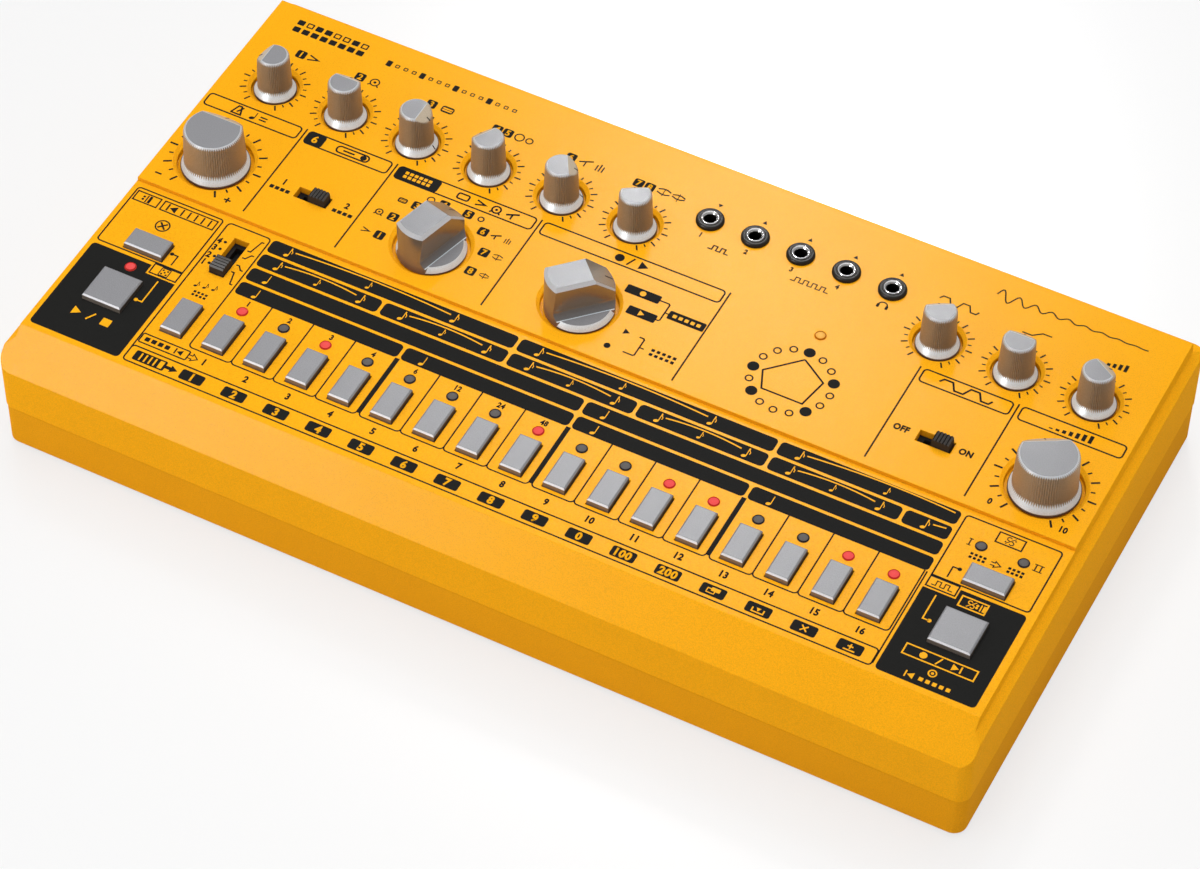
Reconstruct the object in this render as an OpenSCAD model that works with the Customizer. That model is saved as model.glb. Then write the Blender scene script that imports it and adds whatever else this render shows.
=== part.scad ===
// A desktop drum machine: a two-part case with a sloping front edge, sixteen step
// buttons, rotary knobs and selectors in dished wells, slide switches, indicator
// lights, trigger sockets on top and a row of connectors at the back.
// Millimetres. +X is the user's right, +Y the back, +Z up, z = 0 is the table.

/* [Case] */
// Width of the case, side to side
case_w = 305; // [303:1:309]
// Depth of the case, front to back
case_d = 165; // [164:1:168]
// Height of the front panel above the table
front_panel_h = 41.8; // [41.6:0.2:43]
// Rise from the front panel to the rear panel
panel_step = 1.2; // [0.8:0.2:1.6]
// Height of the parting line between the two shells
parting_h = 16.3; // [16.1:0.1:16.9]
// Height of the ledge round the sides and back
ledge_h = 36.85; // [36.45:0.1:37.25]
// Thickness of the shells
wall = 2.4; // [2:0.1:2.6]
// Radius of the upright corners
corner_r = 4; // [3:0.5:6]
// Depth of the sloping front edge
bevel_d = 10.7; // [9:0.1:11]
// Height of the sloping front edge
bevel_h = 10; // [8:0.5:11]
// Height of the rubber feet below the case
foot_h = 1.5; // [1:0.1:2]
// Radius of the rubber feet
foot_r = 7; // [5:0.5:8]

/* [Step keys] */
// Number of step keys is fixed at sixteen, this is the distance between them
step_pitch = 13.7; // [13.2:0.1:14.2]
// Width of a step key
key_w = 6.8; // [6:0.2:8]
// Length of a step key
key_l = 12.7; // [12:0.1:13]
// Height of the keys above the panel
key_rise = 2; // [1.6:0.1:2.6]
// How far a key travels down
key_travel = 0.6; // [0.3:0.1:0.8]
// Gap round each key in its window
key_gap = 0.3; // [0.2:0.05:0.4]
// Radius of a round light
light_r = 1.6; // [1.3:0.1:1.8]

/* [Knobs] */
// Distance between the columns of small knobs
knob_pitch = 24.23; // [24:0.05:24.4]
// Radius of a small knob's skirt
small_skirt_r = 6.55; // [6:0.05:6.8]
// Radius of a large knob's skirt
large_skirt_r = 10.4; // [10:0.1:10.8]
// Height of the knobs above the rear panel
knob_rise = 13; // [11:0.5:16]
// Depth of the wells that the knobs stand in
well_depth = 2.6; // [2.2:0.1:2.8]
// Slope of the flat that is cut across a knob's top, in degrees
pointer_slope = 42; // [35:1:50]
// Radius of the control shafts
shaft_r = 3; // [2.8:0.1:3]
// Radial running clearance of a shaft in its bushing
shaft_gap = 0.06; // [0.04:0.01:0.09]

/* [Slide switches] */
// Height of the switch caps above the panel
cap_rise = 2.9; // [2:0.1:3.4]
// Clearance of a switch cap in its slot
cap_gap = 0.2; // [0.15:0.05:0.3]
// Travel of the two-way switches
two_way_travel = 4.2; // [3.6:0.1:4.4]
// Distance between neighbouring stops of the four-way switch
four_way_pitch = 3.07; // [2.8:0.01:3.1]

/* [Sockets] */
// Radius of the bore of a small jack socket
mini_jack_r = 1.75; // [1.75:0.05:1.85]
// Distance between the trigger sockets
jack_pitch = 14.65; // [14:0.05:15]
// Radius of the bore of the large jack socket
large_jack_r = 3.25; // [3.2:0.05:3.3]
// Swing of the power rocker, in degrees
rocker_swing = 16; // [10:1:16]

/* [Hidden] */
$fn = 48;
eps = 0.01;

// heights
panel_z = front_panel_h;
rear_z = panel_z + panel_step;
floor_z = foot_h + wall;
board_t = 1.6;
board_z = panel_z - 10.8;
main_board_z = 17.5;
under_front = panel_z - wall;
under_rear = rear_z - wall;
shoulder_rise = 2.05;
lip = 0.2;

// places on the panels are drawn on a case of 305 by 165, and follow the case
unit_x = case_w / 305;
unit_y = case_d / 165;
function across(x) = x * unit_x;
function along(y) = y * unit_y;
function placed(points) = [for (p = points) [across(p[0]), along(p[1])]];

// plan
step_y = along(-7.7);
side_shoulder = 2.7;
rear_shoulder = 5.6;
draft = 0.4;
tongue = wall / 2;
shadow_gap = 0.3;
lap_h = 2;

// step row
step_count = 16;
first_step_x = across(-96.25);
step_key_y = along(-49.05);
step_light_y = along(-38.4);
function step_x(i) = first_step_x + across(step_pitch) * (i - 1);
lit_steps = [1, 3, 8, 11, 12, 15, 16];
dark_steps = [for (i = [1:step_count]) if (len([for (s = lit_steps) if (s == i) s]) == 0) i];

// other keys: [x, y, width, length]
side_key_x = across(133.1);
side_key = 12.7;
side_key_short = 6.9;
upper_key_y = along(-29.05);
function_key = [across(-110), step_key_y, key_w, key_l];
clear_key = [-side_key_x, upper_key_y, side_key, side_key_short];
start_key = [-side_key_x, step_key_y, side_key, side_key];
group_key = [side_key_x, upper_key_y, side_key, side_key_short];
write_key = [side_key_x, step_key_y, side_key, side_key];
step_keys = [for (i = [1:step_count]) [step_x(i), step_key_y, key_w, key_l]];
all_keys = concat(step_keys, [function_key, clear_key, start_key, group_key, write_key]);
flange_t = 1.1;
flange_w = 0.8;
flange_gap = 0.3;
stem_r = 1.6;
stem_reach = 1;
press_gap = 0.6;
key_chamfer = 0.45;
tact_size = 6;
tact_h = 4;

// lights
run_light = [across(-133.6), step_light_y];
group_lights = placed([[126.3, -18.3], [139, -18.3]]);
level_light = placed([[54.5, 29.9]])[0];
lit_lights = concat([run_light], [for (i = lit_steps) [step_x(i), step_light_y]]);
dark_lights = concat([for (i = dark_steps) [step_x(i), step_light_y]], group_lights);
light_gap = 0.1;
light_dome = 0.55;
light_dome_r = 3;
light_flange_h = 5;

// knobs
first_knob_x = across(-133.3);
knob_row_y = along(44.1);
large_row_y = along(9.15);
function column(i) = first_knob_x + across(knob_pitch) * i;
small_columns = [0, 1, 2, 3, 4, 5, 9, 10, 11];
large_columns = [0, 3, 5, 11];
selector_columns = [3, 5];
small_well_r = small_skirt_r + 0.75;
large_well_r = large_skirt_r + 1.1;
well_chamfer = 1.05;
cup_wall = 1.5;
cup_floor = 1.4;
bushing_r = 3.5;
bushing_gap = 0.2;
skirt_low = -2;
skirt_rim = -1.45;
knurl_low = 0.3;
knob_edge = 0.7;
pot_size = [12, 13, 7];
rotary_size = [21, 21, 7];

// slide switches: [x, y, length along X, width along Y] of each slot
slot_w = 4.3;
two_way_cap = 5.5;
slide_room = 0.6;
two_way_slot = two_way_cap + two_way_travel + 2 * slide_room;
select_slot = [across(-100.2), large_row_y];
distortion_slot = [across(99.9), large_row_y];
scale_slot = placed([[-110.3, -22]])[0];
scale_cap = [4.6, 5.6];
scale_travel = 3 * four_way_pitch;
scale_slot_w = scale_cap[0] + 2 * cap_gap;
scale_slot_l = scale_cap[1] + scale_travel + 2 * cap_gap;
rib_count = 5;
rib_depth = 0.45;
rib_crown = 0.2;
cap_lift = 0.3;
end_slope = 0.15;
end_lift = 0.6;
tongue_size = [2.2, 2];
tongue_reach = 1.6;
slide_margin = 3.5;

// trigger sockets
first_jack_x = across(6.7);
jack_y = along(55.45);
jack_count = 5;
jack_places = [for (i = [0:jack_count - 1]) [first_jack_x + across(jack_pitch) * i, jack_y]];
jack_thread_r = 2.9;
jack_tip_r = 2.4;
jack_nut_r = 4.1;
jack_nut_h = 1.3;
jack_rise = 1.45;
jack_body = [10, 10.5, 8.6];
jack_floor = 0.8;

// fixings
boss_inset = 8.5;
foot_inset = 24.5;
case_screws = [for (x = [-1, 1]) for (y = [-66, 2, 66]) [x * (case_w / 2 - boss_inset), along(y)]];
board_screws = placed([[-70, -22], [0, -22], [70, -22], [-97, 28.7], [20, 28.7], [97, 28.7],
                       [-121.2, 55], [-24.3, 55], [121.1, 55]]);
main_screws = placed([for (x = [-128, -30, 128]) for (y = [26, 58]) [x, y]]);
foot_places = [for (x = [-1, 1]) for (y = [-1, 1]) [x * (case_w / 2 - foot_inset), y * along(62)]];
case_screw_r = 1.5;
board_screw_r = 1.2;
screw_gap = 0.05;
head_h = 1.8;
head_gap = 0.45;
case_boss_r = 4.5;
top_boss_r = 3.2;
counterbore_h = 4.5;
board_boss_r = 2.6;
screw_bite = 7;
foot_sink = 0.8;

// boards
panel_board = [case_w / 2 - 11.2, along(-69), case_d / 2 - 20.5];
main_board = [case_w / 2 - 14.5, along(18), case_d / 2 - 4.5];
header_at = placed([[40, 34]])[0];
header_size = [40, 5];

// back connectors, by their places along X
back_y = case_d / 2;
socket_face = back_y - 0.4;
rocker_at = [across(118), 26.5];
rocker_size = [18, 11.5];
rocker_bezel = [22, 15.5];
rocker_pocket = 1.6;
rocker_depth = 16.4;
rocker_pivot_y = back_y - 4.6;
rocker_pin_r = 1.2;
rocker_pin_reach = 1.2;
inlet_at = [across(92), 23];
inlet_body = [9, 13, 10.6];
inlet_nose_r = 4.2;
inlet_bore_r = 3.1;
inlet_pin_r = 1;
inlet_bore_l = 10;
usb_size = [12, 10.8];
usb_mouth = [9, 8.2];
usb_tongue = [5.6, 3.2];
usb_plinth = 1.2;
usb_depth = 17;
usb_at = [across(70), main_board_z + usb_plinth + usb_size[1] / 2];
midi_xs = [across(44), across(20)];
midi_body = [19, 13, ledge_h - wall - main_board_z];
midi_z = main_board_z + midi_body[2] / 2;
midi_r = 0.43 * midi_body[2];
midi_shroud = 0.6;
midi_bore_l = 8;
midi_pin_r = 0.75;
voice_xs = [for (i = [0:5]) across(-6 - 16 * i)];
voice_z = 22.4;
voice_body = [9, 14, 9.4];
voice_nose_r = 3;
voice_bore_l = 14;
output_at = [across(-110), 23.2];
output_body = [14, 31, 11.2];
output_nose_r = 4.6;
output_bore_l = 30;
hole_gap = 0.2;

shell_colour = [1.0, 0.69, 0.1];
key_colour = [0.64, 0.64, 0.65];
knob_colour = [0.68, 0.68, 0.7];
black_plastic = [0.1, 0.1, 0.1];
board_colour = [0.1, 0.35, 0.18];

// ---- shared shapes ----

module box(from, to) {
    translate(from) cube(to - from);
}

module pillar(at, r, low, high) {
    translate([at[0], at[1], low]) cylinder(r = r, h = high - low);
}

module cone_ring(at, r1, r2, low, high) {
    translate([at[0], at[1], low]) cylinder(r1 = r1, r2 = r2, h = high - low);
}

// a flat sheet with rounded corners, standing on z = low
module rounded_block(w, d, r, low, high) {
    translate([0, 0, low]) linear_extrude(high - low) {
        square([w - 2 * r, d], center = true);
        square([w, d - 2 * r], center = true);
        for (x = [-1, 1]) for (y = [-1, 1])
            translate([x * (w / 2 - r), y * (d / 2 - r)]) circle(r = r);
    }
}

// a block whose upper edges are cut at 45 degrees
module chamfered_block(w, d, low, high, cut) {
    intersection() {
        rotate([90, 0, 0]) linear_extrude(d, center = true) chamfer_outline(w / 2, low, high, cut);
        rotate([90, 0, 90]) linear_extrude(w, center = true) chamfer_outline(d / 2, low, high, cut);
    }
}

module chamfer_outline(half, low, high, cut) {
    polygon([[-half, low], [half, low], [half, high - cut], [half - cut, high],
             [-half + cut, high], [-half, high - cut]]);
}

// a hole or plug that runs along Y, from y = near to y = far
module along_y(x, z, r, near, far) {
    translate([x, near, z]) rotate([-90, 0, 0]) cylinder(r = r, h = far - near);
}

// ---- case ----

// corner points of a ledge and shoulder, moved inwards by t
function shoulder_points(half, run, top, t) =
    let (turn = atan2(run, shoulder_rise), drop = t * tan(turn / 2), plateau = half - run)
    [[half - t, ledge_h - drop],
     [plateau + 2 * lip - t, ledge_h + shoulder_rise - drop],
     [plateau + lip - t, ledge_h + shoulder_rise + lip - drop],
     [plateau - t, top - t]];

function mirrored(points) = [for (i = [len(points) - 1:-1:0]) [-points[i][0], points[i][1]]];

// outline seen from the front
module front_outline(base, t) {
    side = concat([[case_w / 2 - t, base]], shoulder_points(case_w / 2, side_shoulder, rear_z, t));
    polygon(concat(side, mirrored(side)));
}

// outline seen from the side
module side_outline(base, t) {
    front = -case_d / 2;
    turn = atan2(bevel_d, bevel_h);
    polygon(concat(
        [[front + t, base],
         [front + t, panel_z - bevel_h - t * tan(turn / 2)],
         [front + bevel_d + t * tan((90 - turn) / 2), panel_z - t],
         [step_y + t, panel_z - t],
         [step_y + t, rear_z - t]],
        mirrored([for (p = shoulder_points(case_d / 2, rear_shoulder, rear_z, t)) [-p[0], p[1]]]),
        [[case_d / 2 - t, base]]));
}

module upper_solid(base, t) {
    intersection() {
        rounded_block(case_w - 2 * t, case_d - 2 * t, max(corner_r - t, 0.6), base, rear_z);
        rotate([90, 0, 0]) linear_extrude(case_d, center = true) front_outline(base, t);
        rotate([90, 0, 90]) linear_extrude(case_w, center = true) side_outline(base, t);
    }
}

module key_window(key) {
    box([key[0] - key[2] / 2 - key_gap, key[1] - key[3] / 2 - key_gap, under_front - 1],
        [key[0] + key[2] / 2 + key_gap, key[1] + key[3] / 2 + key_gap, panel_z + 1]);
}

module slot_window(at, length, width, low) {
    box([at[0] - length / 2, at[1] - width / 2, low - 1],
        [at[0] + length / 2, at[1] + width / 2, rear_z + 1]);
}

module cup(at, r) {
    pillar(at, r + cup_wall, rear_z - well_depth - cup_floor, under_rear + eps);
}

module well(at, r) {
    pillar(at, r, rear_z - well_depth, rear_z + 1);
    cone_ring(at, r, r + well_chamfer + 1, rear_z - well_chamfer, rear_z + 1);
    pillar(at, bushing_r + bushing_gap, rear_z - well_depth - cup_floor - 1, rear_z);
}

module wells_at(columns, y) {
    for (i = columns) translate([column(i), y, 0]) children();
}

module boss_over(at, low, r, pilot) {
    difference() {
        pillar(at, r, low, at[1] < step_y ? under_front + eps : under_rear + eps);
        pillar(at, pilot, low - 1, low + screw_bite + 1);
    }
}

module back_hole(x, z, r) {
    along_y(x, z, r + hole_gap, back_y - wall - 1, back_y + 1);
}

module back_windows() {
    for (x = voice_xs) back_hole(x, voice_z, voice_nose_r);
    for (x = midi_xs) back_hole(x, midi_z, midi_r);
    back_hole(output_at[0], output_at[1], output_nose_r);
    back_hole(inlet_at[0], inlet_at[1], inlet_nose_r);
    back_block(usb_at, usb_size + 2 * [hole_gap, hole_gap], back_y - wall - 1, back_y + 1);
    back_block(rocker_at, rocker_bezel + 2 * [hole_gap, hole_gap], back_y - rocker_pocket, back_y + 1);
    back_block(rocker_at, rocker_size + [2.4, 2.4], back_y - rocker_pocket - wall - 1, back_y);
}

// a block on the back wall, centred at [x, z], from y = near to y = far
module back_block(at, size, near, far) {
    box([at[0] - size[0] / 2, near, at[1] - size[1] / 2],
        [at[0] + size[0] / 2, far, at[1] + size[1] / 2]);
}

module top_shell() {
    color(shell_colour) difference() {
        union() {
            difference() {
                upper_solid(parting_h, 0);
                upper_solid(parting_h - 1, wall);
                rounded_block(case_w - wall, case_d - wall, max(corner_r - tongue, 0.6),
                              parting_h - 1, parting_h + lap_h);
            }
            wells_at(small_columns, knob_row_y) cup([0, 0], small_well_r);
            wells_at(large_columns, large_row_y) cup([0, 0], large_well_r);
            for (at = case_screws) boss_over(at, parting_h + eps, top_boss_r, case_screw_r + screw_gap);
            for (at = board_screws) boss_over(at, board_z, board_boss_r, board_screw_r + screw_gap);
            back_block(rocker_at, rocker_bezel + [4, 0.8], back_y - rocker_pocket - wall, back_y - wall + eps);
        }
        for (key = all_keys) key_window(key);
        wells_at(small_columns, knob_row_y) well([0, 0], small_well_r);
        wells_at(large_columns, large_row_y) well([0, 0], large_well_r);
        for (at = concat(lit_lights, dark_lights, [level_light]))
            pillar(at, light_r + light_gap, under_front - 2, rear_z + 1);
        slot_window(select_slot, two_way_slot, slot_w, under_rear);
        slot_window(distortion_slot, two_way_slot, slot_w, under_rear);
        slot_window(scale_slot, scale_slot_w, scale_slot_l, under_front);
        for (at = jack_places) pillar(at, jack_thread_r + hole_gap, under_rear - 1, rear_z + 1);
        back_windows();
    }
}

module bottom_shell() {
    lower_w = case_w - draft;
    lower_d = case_d - draft;
    color(shell_colour) difference() {
        union() {
            difference() {
                rounded_block(lower_w, lower_d, corner_r, foot_h, parting_h - shadow_gap);
                rounded_block(case_w - 2 * wall, case_d - 2 * wall, max(corner_r - wall, 0.6),
                              floor_z, parting_h);
            }
            difference() {
                rounded_block(case_w - wall - 0.3, case_d - wall - 0.3, max(corner_r - tongue, 0.6),
                              parting_h - 3, parting_h + lap_h);
                rounded_block(case_w - 2 * wall, case_d - 2 * wall, max(corner_r - wall, 0.6),
                              parting_h - 4, parting_h + lap_h + 1);
            }
            for (at = case_screws) pillar(at, case_boss_r, floor_z - eps, parting_h);
            for (at = main_screws) pillar(at, board_boss_r, floor_z - eps, main_board_z - board_t);
        }
        for (at = case_screws) {
            pillar(at, case_screw_r + 0.2, 0, parting_h + 1);
            pillar(at, case_screw_r + 1.5 + head_gap, 0, foot_h + counterbore_h);
        }
        for (at = main_screws) pillar(at, board_screw_r + screw_gap, floor_z + 1, main_board_z);
        for (at = foot_places) pillar(at, foot_r + 0.15, 0, foot_h + foot_sink);
    }
}

module rubber_feet() {
    color(black_plastic) for (at = foot_places) {
        cone_ring(at, foot_r - 0.6, foot_r, 0, 0.6);
        pillar(at, foot_r, 0.6, foot_h + foot_sink);
    }
}

// a pan-head screw: head's seat at z = seat, shank pointing up (way = 1) or down (way = -1)
module screw(at, seat, r, length, way) {
    translate([at[0], at[1], seat]) rotate([way > 0 ? 0 : 180, 0, 0])
        difference() {
            union() {
                cylinder(r = r, h = length);
                translate([0, 0, -head_h]) cylinder(r = r + 1.5, h = head_h);
            }
            for (turn = [0, 90]) rotate([0, 0, turn])
                translate([-r, -0.35, -head_h - eps]) cube([2 * r, 0.7, 1]);
        }
}

module screws() {
    color("silver") {
        for (at = case_screws) screw(at, foot_h + counterbore_h, case_screw_r, parting_h - 2, 1);
        for (at = board_screws) screw(at, board_z - board_t, board_screw_r, board_t + screw_bite, 1);
        for (at = main_screws) screw(at, main_board_z, board_screw_r, board_t + screw_bite, -1);
    }
}

// ---- boards and what sits on them ----

module panel_board() {
    color(board_colour) difference() {
        box([-panel_board[0], panel_board[1], board_z - board_t], [panel_board[0], panel_board[2], board_z]);
        for (at = board_screws) pillar(at, board_screw_r + 0.15, board_z - 3, board_z + 1);
        for (at = case_screws) pillar(at, top_boss_r + 0.6, board_z - 3, board_z + 1);
    }
}

module main_board() {
    color(board_colour) difference() {
        box([-main_board[0], main_board[1], main_board_z - board_t], [main_board[0], main_board[2], main_board_z]);
        for (at = main_screws) pillar(at, board_screw_r + 0.15, main_board_z - 3, main_board_z + 1);
    }
}

module board_header() {
    color(black_plastic) translate([header_at[0] - header_size[0] / 2, header_at[1], main_board_z])
        cube([header_size[0], header_size[1], board_z - board_t - main_board_z]);
}

module shaft_housing(size) {
    difference() {
        union() {
            translate([-size[0] / 2, -size[1] / 2, board_z]) cube(size);
            pillar([0, 0], bushing_r, board_z, rear_z - well_depth - 0.2);
        }
        pillar([0, 0], shaft_r + shaft_gap, board_z + 1.5, rear_z);
    }
}

module pot_bodies() {
    color([0.25, 0.4, 0.3]) {
        wells_at(small_columns, knob_row_y) shaft_housing(pot_size);
        wells_at([0, 11], large_row_y) shaft_housing(pot_size);
    }
}

module rotary_switch_bodies() {
    color(black_plastic) wells_at(selector_columns, large_row_y) shaft_housing(rotary_size);
}

module tact_switches() {
    color(black_plastic) for (key = all_keys) difference() {
        translate([key[0] - tact_size / 2, key[1] - tact_size / 2, board_z])
            cube([tact_size, tact_size, tact_h]);
        pillar(key, stem_r + 0.3, board_z + tact_h - stem_reach - key_travel - press_gap,
                   board_z + tact_h + 1);
    }
}

// a slide switch body under its slot, with a groove for the cap's tongue
module slide_body(at, length, width, groove, top) {
    difference() {
        box([at[0] - length / 2, at[1] - width / 2, board_z], [at[0] + length / 2, at[1] + width / 2, top]);
        box([at[0] - groove[0] / 2, at[1] - groove[1] / 2, top - tongue_reach - 0.6],
            [at[0] + groove[0] / 2, at[1] + groove[1] / 2, top + 1]);
    }
}

module slide_switch_bodies() {
    groove = [two_way_travel + tongue_size[0] + 0.8, tongue_size[1] + 0.5];
    long_groove = [tongue_size[1] + 0.5, scale_travel + tongue_size[0] + 0.8];
    color(black_plastic) {
        for (at = [select_slot, distortion_slot])
            slide_body(at, two_way_slot + 2 * slide_margin, slot_w + slide_margin, groove, under_rear);
        slide_body(scale_slot, scale_slot_w + slide_margin, scale_slot_l + 2 * slide_margin,
                   long_groove, under_front);
    }
}

// a round light: spacer, flange, and a lens whose domed top stands in its hole
module light(at, top) {
    translate([at[0], at[1], 0]) {
        pillar([0, 0], light_r + 0.25, board_z, board_z + light_flange_h);
        intersection() {
            pillar([0, 0], light_r, board_z + 1, top + light_dome);
            translate([0, 0, top + light_dome - light_dome_r]) union() {
                sphere(r = light_dome_r);
                translate([0, 0, -20]) cylinder(r = light_r + 1, h = 20);
            }
        }
    }
}

module leds_lit() {
    color([0.95, 0.3, 0.3]) for (at = lit_lights) light(at, panel_z);
}

module leds_dark() {
    color([0.4, 0.35, 0.35]) for (at = dark_lights) light(at, panel_z);
}

module led_amber() {
    color([0.85, 0.6, 0.1]) light(level_light, rear_z);
}

// ---- sockets ----

module top_jack_sockets() {
    body_top = board_z + jack_body[2];
    tip = rear_z + jack_rise;
    color("silver") for (at = jack_places) translate([at[0], at[1], 0])
        difference() {
            union() {
                translate([-jack_body[0] / 2, -jack_body[1] / 2, board_z]) cube(jack_body);
                pillar([0, 0], jack_thread_r, body_top - 1, rear_z + jack_nut_h - 0.4);
                pillar([0, 0], jack_tip_r, body_top, tip);
            }
            pillar([0, 0], mini_jack_r, board_z + jack_floor, tip + 1);
        }
}

module top_jack_nuts() {
    color(black_plastic) for (at = jack_places)
        translate([at[0], at[1], rear_z]) difference() {
            cylinder(r = jack_nut_r, h = jack_nut_h);
            translate([0, 0, -1]) cylinder(r = jack_thread_r + 0.1, h = jack_nut_h + 2);
        }
}

// a board-mounted socket: body on the main board and a nose that fills its hole
module back_socket(x, z, body, nose_r, bore_r, bore_l) {
    inner = back_y - wall - hole_gap;
    difference() {
        union() {
            box([x - body[0] / 2, inner - body[1], main_board_z],
                [x + body[0] / 2, inner, main_board_z + body[2]]);
            along_y(x, z, nose_r, inner - 1, socket_face);
        }
        along_y(x, z, bore_r, socket_face - bore_l, socket_face + 1);
    }
}

module voice_jack_sockets() {
    color(black_plastic) for (x = voice_xs)
        back_socket(x, voice_z, voice_body, voice_nose_r, mini_jack_r, voice_bore_l);
}

module output_jack() {
    color(black_plastic) back_socket(output_at[0], output_at[1], output_body, output_nose_r,
                                     large_jack_r, output_bore_l);
}

module midi_sockets() {
    ring_r = midi_r - midi_shroud;
    color(black_plastic) for (x = midi_xs) {
        back_socket(x, midi_z, midi_body, midi_r, ring_r, midi_bore_l);
        difference() {
            along_y(x, midi_z, ring_r - midi_shroud, socket_face - midi_bore_l - eps, socket_face - 1);
            for (turn = [0:45:180])
                along_y(x + midi_r / 2 * cos(turn), midi_z + midi_r / 2 * sin(turn), midi_pin_r,
                        socket_face - midi_bore_l + 1, socket_face);
        }
    }
}

module usb_socket() {
    inside = back_y - usb_depth + 5;
    color("silver") difference() {
        union() {
            back_block(usb_at, usb_size, back_y - usb_depth, socket_face);
            box([usb_at[0] - usb_size[0] / 2, back_y - usb_depth, main_board_z],
                [usb_at[0] + usb_size[0] / 2, back_y - wall - hole_gap, usb_at[1]]);
        }
        back_block(usb_at, usb_mouth, inside, socket_face + 1);
    }
    color(black_plastic) back_block(usb_at, usb_tongue, inside - eps, socket_face - 1.5);
}

module dc_inlet() {
    color(black_plastic) {
        back_socket(inlet_at[0], inlet_at[1], inlet_body, inlet_nose_r, inlet_bore_r, inlet_bore_l);
        along_y(inlet_at[0], inlet_at[1], inlet_pin_r, socket_face - inlet_bore_l - eps, socket_face - 1);
    }
}

// the rocker's pivot, an upright pin through its middle
module rocker_pin(r) {
    translate([rocker_at[0], rocker_pivot_y, rocker_at[1]])
        cylinder(r = r, h = rocker_size[1] + 2 * rocker_pin_reach, center = true);
}

module power_switch_body() {
    face = back_y - rocker_pocket;
    color(black_plastic) difference() {
        union() {
            back_block(rocker_at, rocker_bezel, face, face + 1.2);
            back_block(rocker_at, rocker_size + [2, 2], face - rocker_depth, face + eps);
        }
        back_block(rocker_at, rocker_size + [0.8, 0.6], back_y - 11, back_y);
        rocker_pin(rocker_pin_r + shaft_gap);
    }
}

// rocker in its own frame: pivot at the origin, pressed face towards +Y
module rocker_outline() {
    half = rocker_size[0] / 2;
    rise = half * tan(rocker_swing / 2);
    polygon([[-half, -1], [-half + 2, -3], [half - 2, -3], [half, -1],
             [half, 1.6 + rise], [0, 1.6], [-half, 1.6 + rise]]);
}

module power_rocker() {
    color(black_plastic) {
        translate([rocker_at[0], rocker_pivot_y, rocker_at[1]]) rotate([0, 0, -rocker_swing / 2])
            translate([0, 0, -rocker_size[1] / 2]) linear_extrude(rocker_size[1]) rocker_outline();
        rocker_pin(rocker_pin_r);
    }
}

// ---- keys ----

module key(k) {
    color(key_colour) {
        translate([k[0], k[1], 0])
            chamfered_block(k[2], k[3], under_front - flange_gap - eps, panel_z + key_rise, key_chamfer);
        flange_top = under_front - flange_gap;
        box([k[0] - k[2] / 2 - flange_w, k[1] - k[3] / 2 - flange_w, flange_top - flange_t],
            [k[0] + k[2] / 2 + flange_w, k[1] + k[3] / 2 + flange_w, flange_top]);
        pillar(k, stem_r, board_z + tact_h - stem_reach, flange_top - flange_t + eps);
    }
}

module step_button_01() { key(step_keys[0]); }
module step_button_02() { key(step_keys[1]); }
module step_button_03() { key(step_keys[2]); }
module step_button_04() { key(step_keys[3]); }
module step_button_05() { key(step_keys[4]); }
module step_button_06() { key(step_keys[5]); }
module step_button_07() { key(step_keys[6]); }
module step_button_08() { key(step_keys[7]); }
module step_button_09() { key(step_keys[8]); }
module step_button_10() { key(step_keys[9]); }
module step_button_11() { key(step_keys[10]); }
module step_button_12() { key(step_keys[11]); }
module step_button_13() { key(step_keys[12]); }
module step_button_14() { key(step_keys[13]); }
module step_button_15() { key(step_keys[14]); }
module step_button_16() { key(step_keys[15]); }
module function_button() { key(function_key); }
module clear_button() { key(clear_key); }
module start_stop_button() { key(start_key); }
module pattern_group_button() { key(group_key); }
module write_next_button() { key(write_key); }

// ---- knobs and selectors ----

// the shaft turns with its knob, and its top stops short of the blind bore's end
module shaft() {
    pillar([0, 0], shaft_r, board_z + 2, rear_z + knob_rise - 4.5);
}

module shaft_bore() {
    pillar([0, 0], shaft_r + 0.05, 0, rear_z + knob_rise - 4);
}

// what is cut off a knob's top: a slope that starts at distance d from the axis
module pointer_cut(d) {
    translate([-20, d, rear_z + knob_rise]) rotate([-pointer_slope, 0, 0]) cube([40, 30, 30]);
}

module knob(at, skirt_r, body_r, top_r, cut_d, angle) {
    color(knob_colour) translate([at[0], at[1], 0]) rotate([0, 0, -angle]) {
        difference() {
            rotate_extrude() polygon([[0, rear_z + skirt_low], [skirt_r, rear_z + skirt_low],
                [skirt_r, rear_z + skirt_rim], [body_r, rear_z + knurl_low],
                [top_r, rear_z + knob_rise - knob_edge], [top_r - knob_edge, rear_z + knob_rise],
                [0, rear_z + knob_rise]]);
            shaft_bore();
            pointer_cut(cut_d);
        }
        shaft();
    }
}

module small_knob(i, angle) {
    knob([column(i), knob_row_y], small_skirt_r, small_skirt_r - 1.25, small_skirt_r - 1.7, 1.85, angle);
}

module large_knob(i, angle) {
    knob([column(i), large_row_y], large_skirt_r, large_skirt_r - 1.05, large_skirt_r - 1.6, 4.85, angle);
}

module knob_accent() { small_knob(0, -90); }
module knob_bass_drum() { small_knob(1, 0); }
module knob_snare_drum() { small_knob(2, 90); }
module knob_tom() { small_knob(3, -60); }
module knob_cymbal() { small_knob(4, 60); }
module knob_hi_hat() { small_knob(5, -30); }
module knob_distortion() { small_knob(9, -30); }
module knob_tone() { small_knob(10, 0); }
module knob_level() { small_knob(11, 32); }
module knob_tempo() { large_knob(0, 0); }
module knob_volume() { large_knob(11, -30); }

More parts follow.
